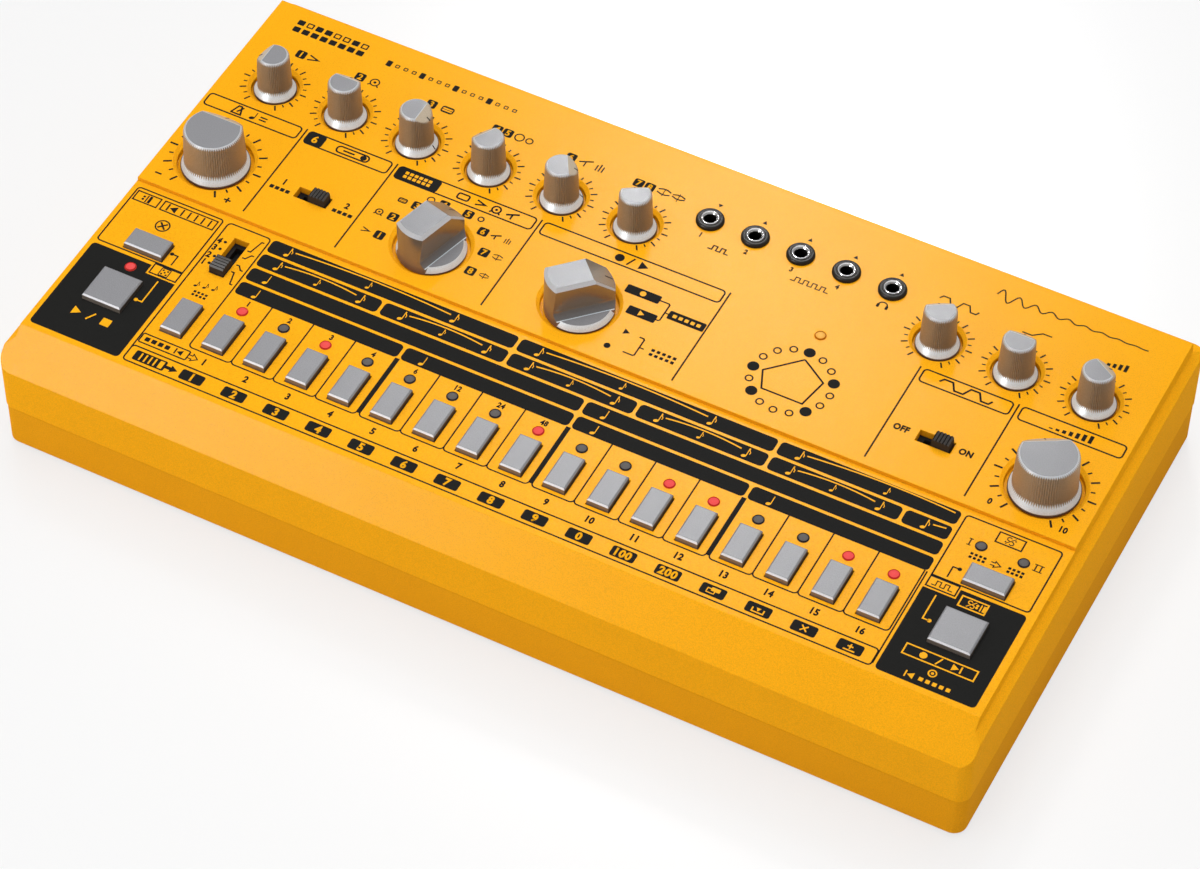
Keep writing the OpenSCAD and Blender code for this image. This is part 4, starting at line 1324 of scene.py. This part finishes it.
# %% Last-step and bar boxes
last_step_y = -60.15
bar_box = (-115.05, -104.85)
outline(front_ink, -117.0, -101.1, -62.1, -58.2, 0.7, fine_line)
cells(front_ink, -111.4, last_step_y, 4, 1, 2.2, 1.5)
back_to_start(front_ink, -104.0, last_step_y, 2.1)
hollow_arrow(front_ink, -101.2, last_step_y, 3.0, 1.35)
bar(front_ink, *bar_box, box_low, box_high, 0.5)
for k in range(5):
    x = -113.2 + k * 1.55
    bar(front_light, x, x + 0.5, -68.0, -65.3)
bar(front_light, -106.5, -105.6, -68.0, -65.3)
solid_arrow(front_ink, -104.9, box_middle, 3.8, 1.5, 1.1)
print("row starts at", bar_box[0])

# %% [markdown]
# ### The scale switch
# The four-way slide stands in a box with two round corners. Its stops are numbered, and a bent
# line leads from each stop to its row of note bars.

# %% The scale switch's box
corner = [(math.sin(math.radians(a)), math.cos(math.radians(a))) for a in range(0, 91, 15)]
stroke(front_ink, [(-117.3, -64.6)]
       + [(-116.0 - box_r * c, -11.3 + box_r * s) for s, c in corner]
       + [(step_x(1) - key_pitch / 2 - box_r * (1 - s), -11.3 + box_r * c) for s, c in corner]
       + [(step_x(1) - key_pitch / 2, -33.1)], ink_line)
stops = [-17.2, -20.2, -23.4, -26.4]
row_rises = (4.8, 1.9, -1.4, -4.4)
for k, y in enumerate(stops):
    disc(front_ink, -114.4, y, 0.5)
    figures(front_ink, str(4 - k), -116.2, y - 0.1, 2.4)
    rise = row_rises[k]
    stroke(front_ink, [(-107.0, y), (-106.0, y), (-104.9, y + rise), (-104.1, y + rise)],
           fine_line)
for k in range(3):
    note(front_ink, -113.4 + 2.7 * k, -35.9 + 0.4 * k, -34.0 + 0.4 * k, size=0.72)
cells(front_ink, -110.4, -38.5, 4, 2, 1.25, 0.8)
print("scale box with", len(stops), "stops")

# %% [markdown]
# ### The left block
# The clear key stands in a framed block with signs for repeat and reset. The start key below it
# stands on solid black, with signs for play and stop. A short bent line joins each key to the sign
# of its second function.

# %% The left block: clear and start
dot_r = 0.62
block_low, block_high = -33.7, -9.7
black_low, black_high = -69.9, -38.4
repeat_y = -13.05
clear_cross = (-133.8, -20.2)
outline(front_ink, -148.3, -118.9, block_low, block_high, box_r, corners=(1, 0, 1, 1))
outline(front_ink, -147.5, -139.2, -15.1, -11.0, 0.0, fine_line)
repeat_sign(front_ink, -143.6, repeat_y, 2.8)
outline(front_ink, -138.3, -120.1, -15.1, -11.0, 0.0, fine_line)
back_to_start(front_ink, -134.4, repeat_y, 2.7)
for k in range(5):
    bar(front_ink, -131.6 + k * 2.3, -131.1 + k * 2.3, -14.4, -11.7)
cross(front_ink, *clear_cross, 1.15, 0.55)
arc(front_ink, *clear_cross, 2.1, 0, 360, fine_line)
disc(front_ink, -125.6, -28.5, dot_r)
stroke(front_ink, [(-125.4, -28.5), (-123.6, -28.5), (-123.6, -32.4)], fine_line)

bar(front_ink, -148.3, -118.7, black_low, black_high, box_r, corners=(1, 1, 0, 0))
bar(front_ink, -148.3, -128.6, black_high, -34.9, box_r, corners=(0, 0, 0, 1))
outline(front_ink, -128.1, -118.9, -37.85, block_low, 0.0, ink_line)
outline(front_ink, -125.3, -122.1, -37.4, -34.2, 0.3, 0.3)
for dx, dy in ((-0.75, -0.75), (-0.75, 0.75), (0, 0), (0.75, -0.75), (0.75, 0.75)):
    disc(front_ink, -123.7 + dx, -35.8 + dy, 0.32, sides=12)
stroke(front_light, [(-123.6, -39.6), (-123.6, -48.6), (-125.4, -48.6)], fine_line)
disc(front_light, -125.6, -48.6, dot_r)
play(front_light, -138.4, -60.2, 1.8)
stroke(front_light, [(-134.5, -61.7), (-132.7, -58.7)], 0.5)
bar(front_light, -130.0, -127.1, -61.6, -58.8, 0.15)
print("left block drawn")

# %% [markdown]
# ### The right block
# The key for the pattern group stands between two lamps, numbered I and II. A double hook with a
# slash and two dots is the music sign for a place to come back to.

# %% The right block: pattern group
outline(front_ink, 118.1, 147.4, block_low, block_high, box_r, corners=(0, 1, 1, 1))
outline(front_ink, 128.7, 136.9, -15.1, -10.9, 0.0, fine_line)
arc(front_ink, 132.25, -12.35, 0.62, -200, 60, 0.3)
arc(front_ink, 133.3, -13.65, 0.62, -20, 240, 0.3)
stroke(front_ink, [(131.6, -14.3), (134.0, -11.6)], 0.26)
disc(front_ink, 131.5, -13.6, 0.24, sides=12)
disc(front_ink, 134.1, -12.4, 0.24, sides=12)
for x in (122.9, 142.55, 144.05):
    bar(front_ink, x - 0.19, x + 0.19, -19.3, -17.1)
for x0, x1 in ((122.3, 123.5), (141.9, 144.7)):
    bar(front_ink, x0, x1, -19.5, -19.2)
    bar(front_ink, x0, x1, -17.2, -16.9)
for x in (127.0, 138.3):
    cells(front_ink, x, -22.4, 4, 2, 1.3, 0.85)
hollow_arrow(front_ink, 130.9, -22.4, 3.0, 1.1)
disc(front_ink, 124.4, -28.4, dot_r)
stroke(front_ink, [(124.2, -28.4), (122.4, -28.4), (122.4, -32.4)], fine_line)
print("pattern group drawn")

# %% [markdown]
# ### The write key's block
# The write key stands on black, with signs for record, play on and back to the start. The black
# has a step at its top, where a framed sign fits in. So it is two boxes that meet, with square
# corners where they do.

# %% The right block: write
write_y, reset_y = -59.95, -67.6
bar(front_ink, 117.9, 147.4, black_low, black_high, box_r, corners=(1, 1, 0, 0))
bar(front_ink, 127.6, 147.4, black_high, -34.8, box_r, corners=(0, 0, 1, 0))
outline(front_ink, 118.1, 127.2, -37.85, block_low, 0.0, ink_line)
pulse(front_ink, 122.65, -35.8, 6.2, 1.7, 0.32)
outline(front_light, 128.7, 136.9, -40.2, -36.1, 0.0, ink_line)
arc(front_light, 131.75, -37.6, 0.55, -200, 60, 0.3)
arc(front_light, 132.7, -38.75, 0.55, -20, 240, 0.3)
stroke(front_light, [(131.1, -39.35), (133.4, -36.95)], 0.26)
repeat_sign(front_light, 134.9, -38.15, 2.2)
stroke(front_light, [(122.4, -39.6), (122.4, -48.5), (124.2, -48.5)], fine_line)
disc(front_light, 124.4, -48.5, dot_r)
outline(front_light, 122.1, 143.5, -62.0, -57.9, 0.0, ink_line)
disc(front_light, 127.9, write_y, 1.1)
stroke(front_light, [(131.9, -61.2), (133.1, -58.7)], ink_line)
play(front_light, 137.2, write_y, 1.35)
bar(front_light, 138.7, 139.2, -61.1, -58.8)
arc(front_light, 132.6, -64.4, 1.1, 0, 360, 0.42)
disc(front_light, 132.6, -64.4, 0.45)
back_to_start(front_light, 127.6, reset_y, 2.2)
cells(front_light, 134.6, reset_y, 5, 1, 2.0, 1.25)
print("write block drawn")

# %% [markdown]
# ### Press the front panel
# Both sheets are complete now. Black goes on first, as a printer would do it, and the light ink
# lies on top of it.

# %% Press the front sheets
press(front_ink, "front_panel_ink", print_black, front_z)
press(front_light, "front_panel_light_ink", print_yellow, front_z + light_lift)

# %% [markdown]
# ### The rear panel
# Every knob stands in a ring of tick marks from seven to five o'clock. The two selectors have
# number boxes instead. Above each large control runs a rounded header box, and thin lines part
# the sections. Two more sheets hold this panel's ink.

# %% Headers and dividers of the rear panel
rear_ink = bmesh.new()
rear_light = bmesh.new()

header_low, header_high, header_middle = 27.3, 32.8, 30.05
header_spans = ((-148.8, -116.7), (-114.5, -86.0), (-83.9, -37.8), (-35.5, 23.5), (85.9, 114.0),
                (116.3, 148.5))
for x0, x1 in header_spans:
    outline(rear_ink, x0, x1, header_low, header_high, 1.4, 0.5)
for x in (-115.5, -84.85, -36.65, 24.6, 84.7, 115.15):
    bar(rear_ink, x - 0.24, x + 0.24, -5.1, header_high)
bar(rear_ink, -114.5, -108.4, header_low, header_high, 1.35)
figures(rear_light, "6", -111.4, header_middle, 3.0, squeeze=1.0, weight=0.035)
bar(rear_ink, -83.9, -69.5, header_low, header_high, 1.35)
print(len(header_spans), "headers drawn")

# %% [markdown]
# ### Signs for tempo and for two tracks
# A metronome and a note with an equals sign stand for the tempo. The header of the select switch
# shows a pill with a dot at one end, and the track header starts with a black box of steps.

# %% Signs on the first headers
bold_sign = 0.55


def tempo_sign(sheet, x, y, h):
    """A metronome: a tall case with its rod swung to the right."""
    stroke(sheet, [(x - 0.5 * h, y - 0.5 * h), (x - 0.16 * h, y + 0.5 * h),
                   (x + 0.16 * h, y + 0.5 * h), (x + 0.5 * h, y - 0.5 * h),
                   (x - 0.56 * h, y - 0.5 * h)], bold_sign)
    stroke(sheet, [(x - 0.02 * h, y - 0.25 * h), (x + 0.42 * h, y + 0.45 * h)], 0.5)


tempo_sign(rear_ink, -137.8, header_middle, 3.2)
note(rear_ink, -132.6, header_middle - 1.0, header_middle + 1.6, 1.15, flag=False)
for k in (0, 1):
    bar(rear_ink, -130.4, -128.0, header_middle - 0.85 + k * 1.1, header_middle - 0.35 + k * 1.1)
outline(rear_ink, -104.2, -93.0, header_middle - 1.55, header_middle + 1.55, 1.4, bold_sign)
disc(rear_ink, -95.0, header_middle, 1.0)
stroke(rear_ink, [(-101.8, header_middle), (-98.0, header_middle)], 0.6)
cells(rear_light, -76.7, header_middle, 6, 2, 1.55, 1.1)
print("tempo and select signs drawn")

# %% [markdown]
# ### A sign for each voice
# Each voice has a small drawing instead of its name: a drum from the front with or without wires,
# a round one on legs, hands for the clap, one slanted cymbal, a pair of them, and the accent of
# written music. Each grows with its height.

# %% Signs for the voices
def drum_sign(sheet, x, y, h, lines=0, width=fine_line):
    """A drum seen from the front, with optional wires across it."""
    outline(sheet, x - 0.62 * h, x + 0.62 * h, y - 0.4 * h, y + 0.4 * h, 0.25 * h, width)
    for k in range(lines):
        offset = (k - (lines - 1) / 2) * 0.24 * h
        bar(sheet, x - 0.5 * h, x + 0.5 * h, y + offset - 0.1, y + offset + 0.1)


def kick_sign(sheet, x, y, h, width=fine_line):
    """A round drum on two short legs."""
    arc(sheet, x, y, 0.42 * h, 0, 360, width)
    disc(sheet, x, y, 0.14 * h)
    for side in (-1, 1):
        stroke(sheet, [(x + side * 0.36 * h, y - 0.32 * h), (x + side * 0.52 * h, y - 0.5 * h)],
               width)


def hat_sign(sheet, x, y, h, gap, width=fine_line):
    """Two cymbals on a rod, apart when open."""
    bar(sheet, x - 0.13, x + 0.13, y - 0.5 * h, y + 0.5 * h)
    for way in (-1, 1):
        base = y + 0.06 * h + way * gap
        stroke(sheet, [(x - 0.62 * h, base), (x - 0.2 * h, base + way * 0.16 * h),
                       (x + 0.2 * h, base + way * 0.16 * h), (x + 0.62 * h, base)], width)


def cymbal_sign(sheet, x, y, h, width=fine_line):
    """One slanted cymbal on its stand."""
    stroke(sheet, [(x - 0.6 * h, y - 0.12 * h), (x + 0.6 * h, y + 0.42 * h)], width * 1.2)
    stroke(sheet, [(x, y + 0.1 * h), (x, y - 0.5 * h)], width)


def accent_sign(sheet, x, y, h, width=fine_line):
    """The accent of written music."""
    stroke(sheet, [(x - 0.55 * h, y + 0.36 * h), (x + 0.55 * h, y), (x - 0.55 * h, y - 0.36 * h)],
           width)


def clap_sign(sheet, x, y, h, width=fine_line):
    """Three strokes side by side, the middle one taller."""
    for k in range(3):
        bar(sheet, x + (k - 1) * 0.34 * h - width / 2, x + (k - 1) * 0.34 * h + width / 2,
            y - 0.5 * h, y + (0.5 - 0.22 * abs(k - 1)) * h)


def tom_sign(sheet, x, y, h, r, width=fine_line):
    """A drum head seen from above; r is its radius as a share of the height."""
    arc(sheet, x, y, r * h, 0, 360, width)


print("voice signs ready")

# %% [markdown]
# ### The other headers
# The track header lists a few voices, and the mode header shows record and play. The distortion
# header has a wave whose tops are cut flat, which is what distortion does to it, and the volume
# header a row of growing bars.

# %% Signs on the other headers
drum_sign(rear_ink, -61.4, header_middle, 3.4, 0, bold_sign)
accent_sign(rear_ink, -55.6, header_middle, 2.7, bold_sign)
kick_sign(rear_ink, -50.4, header_middle, 3.2, bold_sign)
cymbal_sign(rear_ink, -45.2, header_middle, 3.1, bold_sign)
disc(rear_ink, -9.9, header_middle, 1.45)
stroke(rear_ink, [(-7.0, header_middle - 1.6), (-5.6, header_middle + 1.6)], bold_sign)
play(rear_ink, -2.2, header_middle, 1.85)


def clipped_wave(sheet, x, y, w, h, width=0.5):
    """A wave with its tops and bottoms cut flat."""
    step = w / 8
    points = [(x - 4 * step, y)]
    for k, up in ((-3.5, 1), (-2.2, 1), (-1.5, -1), (-0.2, -1), (0.5, 1), (1.8, 1), (2.5, -1),
                  (3.6, -1)):
        points.append((x + k * step, y + up * h / 2))
    points.append((x + 4 * step, y))
    stroke(sheet, points, width)


clipped_wave(rear_ink, 99.9, header_middle, 16.5, 2.7, 0.6)
for k in range(7):
    bar(rear_ink, 125.9 + 1.95 * k, 127.0 + 1.95 * k, header_middle - 1.45,
        header_middle - 1.05 + 0.42 * k)
print("header signs drawn")

# %% [markdown]
# ### Tick rings
# A ring of 21 ticks shows how far a knob is turned. Spinning one tick would be short, but every
# second tick is longer and bolder, so a loop draws each one from the sine and cosine of its angle.

# %% Tick rings and end marks
tick_step = 15
slow_x, fast_x = -145.3, -121.8


def ticks(sheet, x, y, inner, outer, minor, width):
    """Every second mark, and each end mark, is long and bold."""
    for k in range(-10, 11):
        a = math.radians(tick_step * k)
        reach, line = (outer, width) if k % 2 == 0 else (minor, width * 0.8)
        stroke(sheet, [(x + inner * math.sin(a), y + inner * math.cos(a)),
                       (x + reach * math.sin(a), y + reach * math.cos(a))], line)


for node_name in small_angles:
    ticks(rear_ink, centre(node_name).x, knob_row_y, 8.6, 10.6, 9.7, 0.5)
for node_name in large_angles:
    ticks(rear_ink, centre(node_name).x, large_row_y, 12.8, 15.4, 14.1, 0.62)
for x in (slow_x, fast_x):
    bar(rear_ink, x - 1.1, x + 1.1, -3.7, -3.15)
bar(rear_ink, fast_x - 0.27, fast_x + 0.27, -4.5, -2.35)
for x, number in ((122.1, "0"), (144.3, "10")):
    figures(rear_ink, number, x, -3.4, 2.3)
print("ticks round", len(small_angles) + len(large_angles), "knobs")

# %% [markdown]
# ### Titles above the small knobs
# Each voice has a number in a black box and its sign beside it, above its knob. Places count from
# the knob's own axis, so a title stays with its knob.

# %% Titles above the small knobs
title_y = 59.2
title_line = 0.42


def number_box(x, y, number, half=1.6):
    """A light number on a black box with round corners."""
    bar(rear_ink, x - half, x + half, y - half, y + half, 0.6)
    figures(rear_light, str(number), x, y, 2.3, squeeze=1.0, weight=0.03)


title_x = [centre(node_name).x for node_name in small_angles]


accent_sign(rear_ink, title_x[0] + 4.6, title_y, 2.9, 0.5)
number_box(title_x[0] + 0.4, title_y, 1)
number_box(title_x[1] - 3.4, title_y, 2)
kick_sign(rear_ink, title_x[1] + 1.6, title_y, 3.3, title_line)
number_box(title_x[2] - 3.2, title_y, 3)
drum_sign(rear_ink, title_x[2] + 2.2, title_y, 3.3, 3, title_line)
number_box(title_x[3] - 5.2, title_y, 4)
number_box(title_x[3] - 1.6, title_y, 5)
tom_sign(rear_ink, title_x[3] + 2.3, title_y, 3.2, 0.44, title_line)
tom_sign(rear_ink, title_x[3] + 5.6, title_y, 3.2, 0.33, title_line)
number_box(title_x[4] - 4.6, title_y, 6)
cymbal_sign(rear_ink, title_x[4] + 0.2, title_y, 3.3, title_line)
clap_sign(rear_ink, title_x[4] + 5.0, title_y, 3.0, title_line)
number_box(title_x[5] - 6.4, title_y, 7)
number_box(title_x[5] - 2.8, title_y, 8)
hat_sign(rear_ink, title_x[5] + 1.8, title_y, 3.3, 0.55, ink_line)
hat_sign(rear_ink, title_x[5] + 6.6, title_y, 3.3, 0.28, ink_line)
clipped_wave(rear_ink, title_x[6], title_y, 12.5, 2.3, 0.45)
stroke(rear_ink, [(title_x[7] - 4.2, title_y - 0.9), (title_x[7] - 1.2, title_y - 0.9),
                  (title_x[7] + 1.4, title_y + 1.1), (title_x[7] + 4.2, title_y + 1.1)], 0.45)
for k in range(5):
    bar(rear_ink, title_x[8] - 3.9 + 1.7 * k, title_x[8] - 2.9 + 1.7 * k, title_y - 1.4,
        title_y - 0.9 + 0.55 * k)
print("titles above", len(title_x), "knobs")

# %% [markdown]
# ### The instrument selector
# Eight numbered boxes stand round the selector, one for each place that it clicks into, and the
# voice's sign stands outside each box.

# %% Instrument selector numbers and signs
places = [(-75.7, 5.2), (-75.7, 13.4), (-71.6, 20.5), (-64.9, 24.6), (-56.8, 24.6), (-49.7, 20.5),
          (-45.6, 13.4), (-45.6, 5.2)]
for k, (x, y) in enumerate(places):
    number_box(x, y, k + 1)
accent_sign(rear_ink, -80.3, 5.2, 2.2, 0.38)
kick_sign(rear_ink, -80.3, 13.4, 2.5, title_line)
drum_sign(rear_ink, -76.4, 20.5, 2.4, 2, title_line)
tom_sign(rear_ink, -69.2, 24.6, 2.4, 0.45, title_line)
tom_sign(rear_ink, -52.6, 24.6, 2.4, 0.36, title_line)
cymbal_sign(rear_ink, -45.6, 20.5, 2.4, title_line)
clap_sign(rear_ink, -41.6, 20.5, 2.2, 0.32)
hat_sign(rear_ink, -41.2, 13.4, 2.4, 0.42, 0.3)
hat_sign(rear_ink, -41.2, 5.2, 2.4, 0.22, 0.3)
print("signs at", len(places), "places")

# %% [markdown]
# ### The mode selector
# Its four places pair up: record and play for a track, and play and record for a pattern. Brackets
# join each pair to a box of steps, light on black for the track and plain for the pattern.

# %% Mode selector signs
mode_boxes = ((-2.9, 8.0, 18.95, 22.15), (1.1, 10.2, 11.8, 15.0), (12.5, 24.1, 15.3, 18.6))
for x0, x1, y0, y1 in mode_boxes:
    bar(rear_ink, x0, x1, y0, y1, 0.45)
disc(rear_light, 2.5, 20.55, 0.95)
play(rear_light, 5.5, 13.4, 1.2)
cells(rear_light, 18.3, 16.95, 5, 1, 1.9, 1.2)
stroke(rear_ink, [(8.0, 20.55), (10.9, 20.55), (11.3, 20.15), (11.3, 13.8), (10.9, 13.4),
                  (10.2, 13.4)], ink_line)
bar(rear_ink, 11.4, 12.5, 16.75, 17.15)
play(rear_ink, 5.0, 5.25, 1.25)
disc(rear_ink, 2.4, -1.85, 1.0)
stroke(rear_ink, [(9.2, 5.25), (10.5, 5.25), (10.9, 4.85), (10.9, -1.45), (10.5, -1.85),
                  (7.4, -1.85)], ink_line)
bar(rear_ink, 11.0, 12.3, 1.5, 1.9)
cells(rear_ink, 18.3, 1.7, 5, 2, 1.7, 1.05)
print("mode signs in", len(mode_boxes), "black boxes")

# %% [markdown]
# ### Slide switches
# The select switch chooses between two tracks, so a number and a row of steps stand at each end.
# The distortion switch is marked off and on.

# %% Slide switch marks
for x, number in ((-110.6, "1"), (-89.6, "2")):
    figures(rear_ink, number, x, 10.9, 2.4)
    cells(rear_ink, x, 7.7, 4, 1, 1.75, 1.3)
figures(rear_ink, "OFF", 89.4, 9.3, 2.4, weight=0.05)
figures(rear_ink, "ON", 109.2, 9.3, 2.4, weight=0.05)
print("switch marks drawn")

# %% [markdown]
# ### Trigger sockets
# A triangle at each socket tells whether the signal goes in or out. Below them stand numbers,
# square waves for the clock and the triggers, and a headband with two ear pads for the last one.

# %% Socket marks
jack_x = [x for x, y, z in jack_places]
wedge(rear_ink, jack_x[0], 62.35, 0.85, 180)
for x in jack_x[1:]:
    wedge(rear_ink, x, 62.1, 0.85)
for k, x in enumerate(jack_x[:4]):
    figures(rear_ink, str(k + 1), x, 49.2, 1.9)
pulse(rear_ink, (jack_x[0] + jack_x[1]) / 2, 46.3, 6.5, 1.7, title_line)
pulse(rear_ink, (jack_x[2] + jack_x[3]) / 2, 46.3, 12.0, 1.7, 0.34, 4)
arc(rear_ink, jack_x[4], 48.7, 1.35, -95, 95, title_line)
for side in (-1, 1):
    bar(rear_ink, jack_x[4] + side * 1.35 - 0.4, jack_x[4] + side * 1.35 + 0.4, 47.6, 49.0, 0.2)
print("marks at", len(jack_x), "sockets")

# %% [markdown]
# ### Title ornaments
# The back edge is where such a machine carries its titles. Here it has plain ornaments that speak
# of rhythm: two rows of steps, a dotted bar of sixteen, and the wave of a struck drum as it fades.

# %% Title ornaments
wave_points = 96
filled_cells = (0, 2, 3, 6)
for k in range(8):
    x = -139.6 + 3.15 * k
    bar(rear_ink, x - 1.15, x + 1.15, 66.9, 69.0, 0.3)
    if k in filled_cells:
        bar(rear_ink, x - 1.15, x + 1.15, 70.0, 72.1, 0.3)
    else:
        outline(rear_ink, x - 1.15, x + 1.15, 70.0, 72.1, 0.3, fine_line)
for k in range(16):
    x = -107.6 + 2.85 * k
    if k % 4 == 0:
        bar(rear_ink, x - 0.85, x + 0.85, 67.1, 69.5, 0.3)
    else:
        outline(rear_ink, x - 0.7, x + 0.7, 67.6, 69.0, 0.25, 0.32)
decay = []
for k in range(wave_points + 1):
    t = k / wave_points
    decay.append((92.6 + 47.0 * t, 68.3 + 2.6 * math.exp(-3.2 * t) * math.sin(18 * math.pi * t)))
stroke(rear_ink, decay, title_line)
print("wave of", len(decay), "points")

# %% [markdown]
# ### The round emblem
# A ring of sixteen dots is one bar of music seen as a clock. The beats that are hit are filled,
# and straight lines join them to a five-sided figure.

# %% The round emblem
emblem = (54.6, 10.6)
ring_r, figure_r = 12.0, 9.0
beats_hit = (0, 3, 6, 10, 12)


def round_the_clock(k, r):
    """The place of beat k of sixteen at a distance from the emblem's centre."""
    a = math.radians(22.5 * k)
    return emblem[0] + r * math.sin(a), emblem[1] + r * math.cos(a)


for k in range(16):
    x, y = round_the_clock(k, ring_r)
    if k in beats_hit:
        disc(rear_ink, x, y, 1.75)
    else:
        arc(rear_ink, x, y, 1.05, 0, 360, 0.45)
hits = [round_the_clock(k, figure_r) for k in beats_hit]
stroke(rear_ink, hits + [hits[0]], 0.55)
print("emblem with", len(beats_hit), "beats")

# %% [markdown]
# ### Press the rear panel
# The rear sheets are pressed one panel step higher than the front ones.

# %% Press the rear sheets
press(rear_ink, "rear_panel_ink", print_black, rear_z)
press(rear_light, "rear_panel_light_ink", print_yellow, rear_z + light_lift)

# %% [markdown]
# ## The floor
# The machine stands on a pale studio floor that fades into the white room. A plain white floor
# would turn grey away from the lamps. So rays that see it directly get mostly white light and a
# share of the real surface, which keeps the machine's soft shadow and its faint reflection.

# %% Floor
floor_half = 4
floor_tone = 0.72
floor_glow = 0.7

floor_mesh = bpy.data.meshes.new("floor")
floor_shape = bmesh.new()
bmesh.ops.create_grid(floor_shape, x_segments=1, y_segments=1, size=floor_half)
floor_shape.to_mesh(floor_mesh)
floor_shape.free()
floor = bpy.data.objects.new("floor", floor_mesh)
bpy.context.scene.collection.objects.link(floor)

floor_white = bpy.data.materials.new("floor_white")
floor_white.use_nodes = True
tree = floor_white.node_tree
surface = tree.nodes["Principled BSDF"]
surface.inputs["Base Color"].default_value = (floor_tone, floor_tone, floor_tone, 1)
surface.inputs["Roughness"].default_value = 0.2
glow = add(tree, "Emission", {"Color": white})
share = add(tree, "Math", {1: floor_glow}, operation="MULTIPLY")
mixed = add(tree, "MixShader")
wire(tree, (direct_rays(tree), share.inputs[0]), (share.outputs[0], mixed.inputs[0]),
     (surface.outputs[0], mixed.inputs[1]), (glow.outputs[0], mixed.inputs[2]),
     (mixed.outputs[0], tree.nodes["Material Output"].inputs["Surface"]))
paint(floor, floor_white)
print("floor", 2 * floor_half, "m wide")
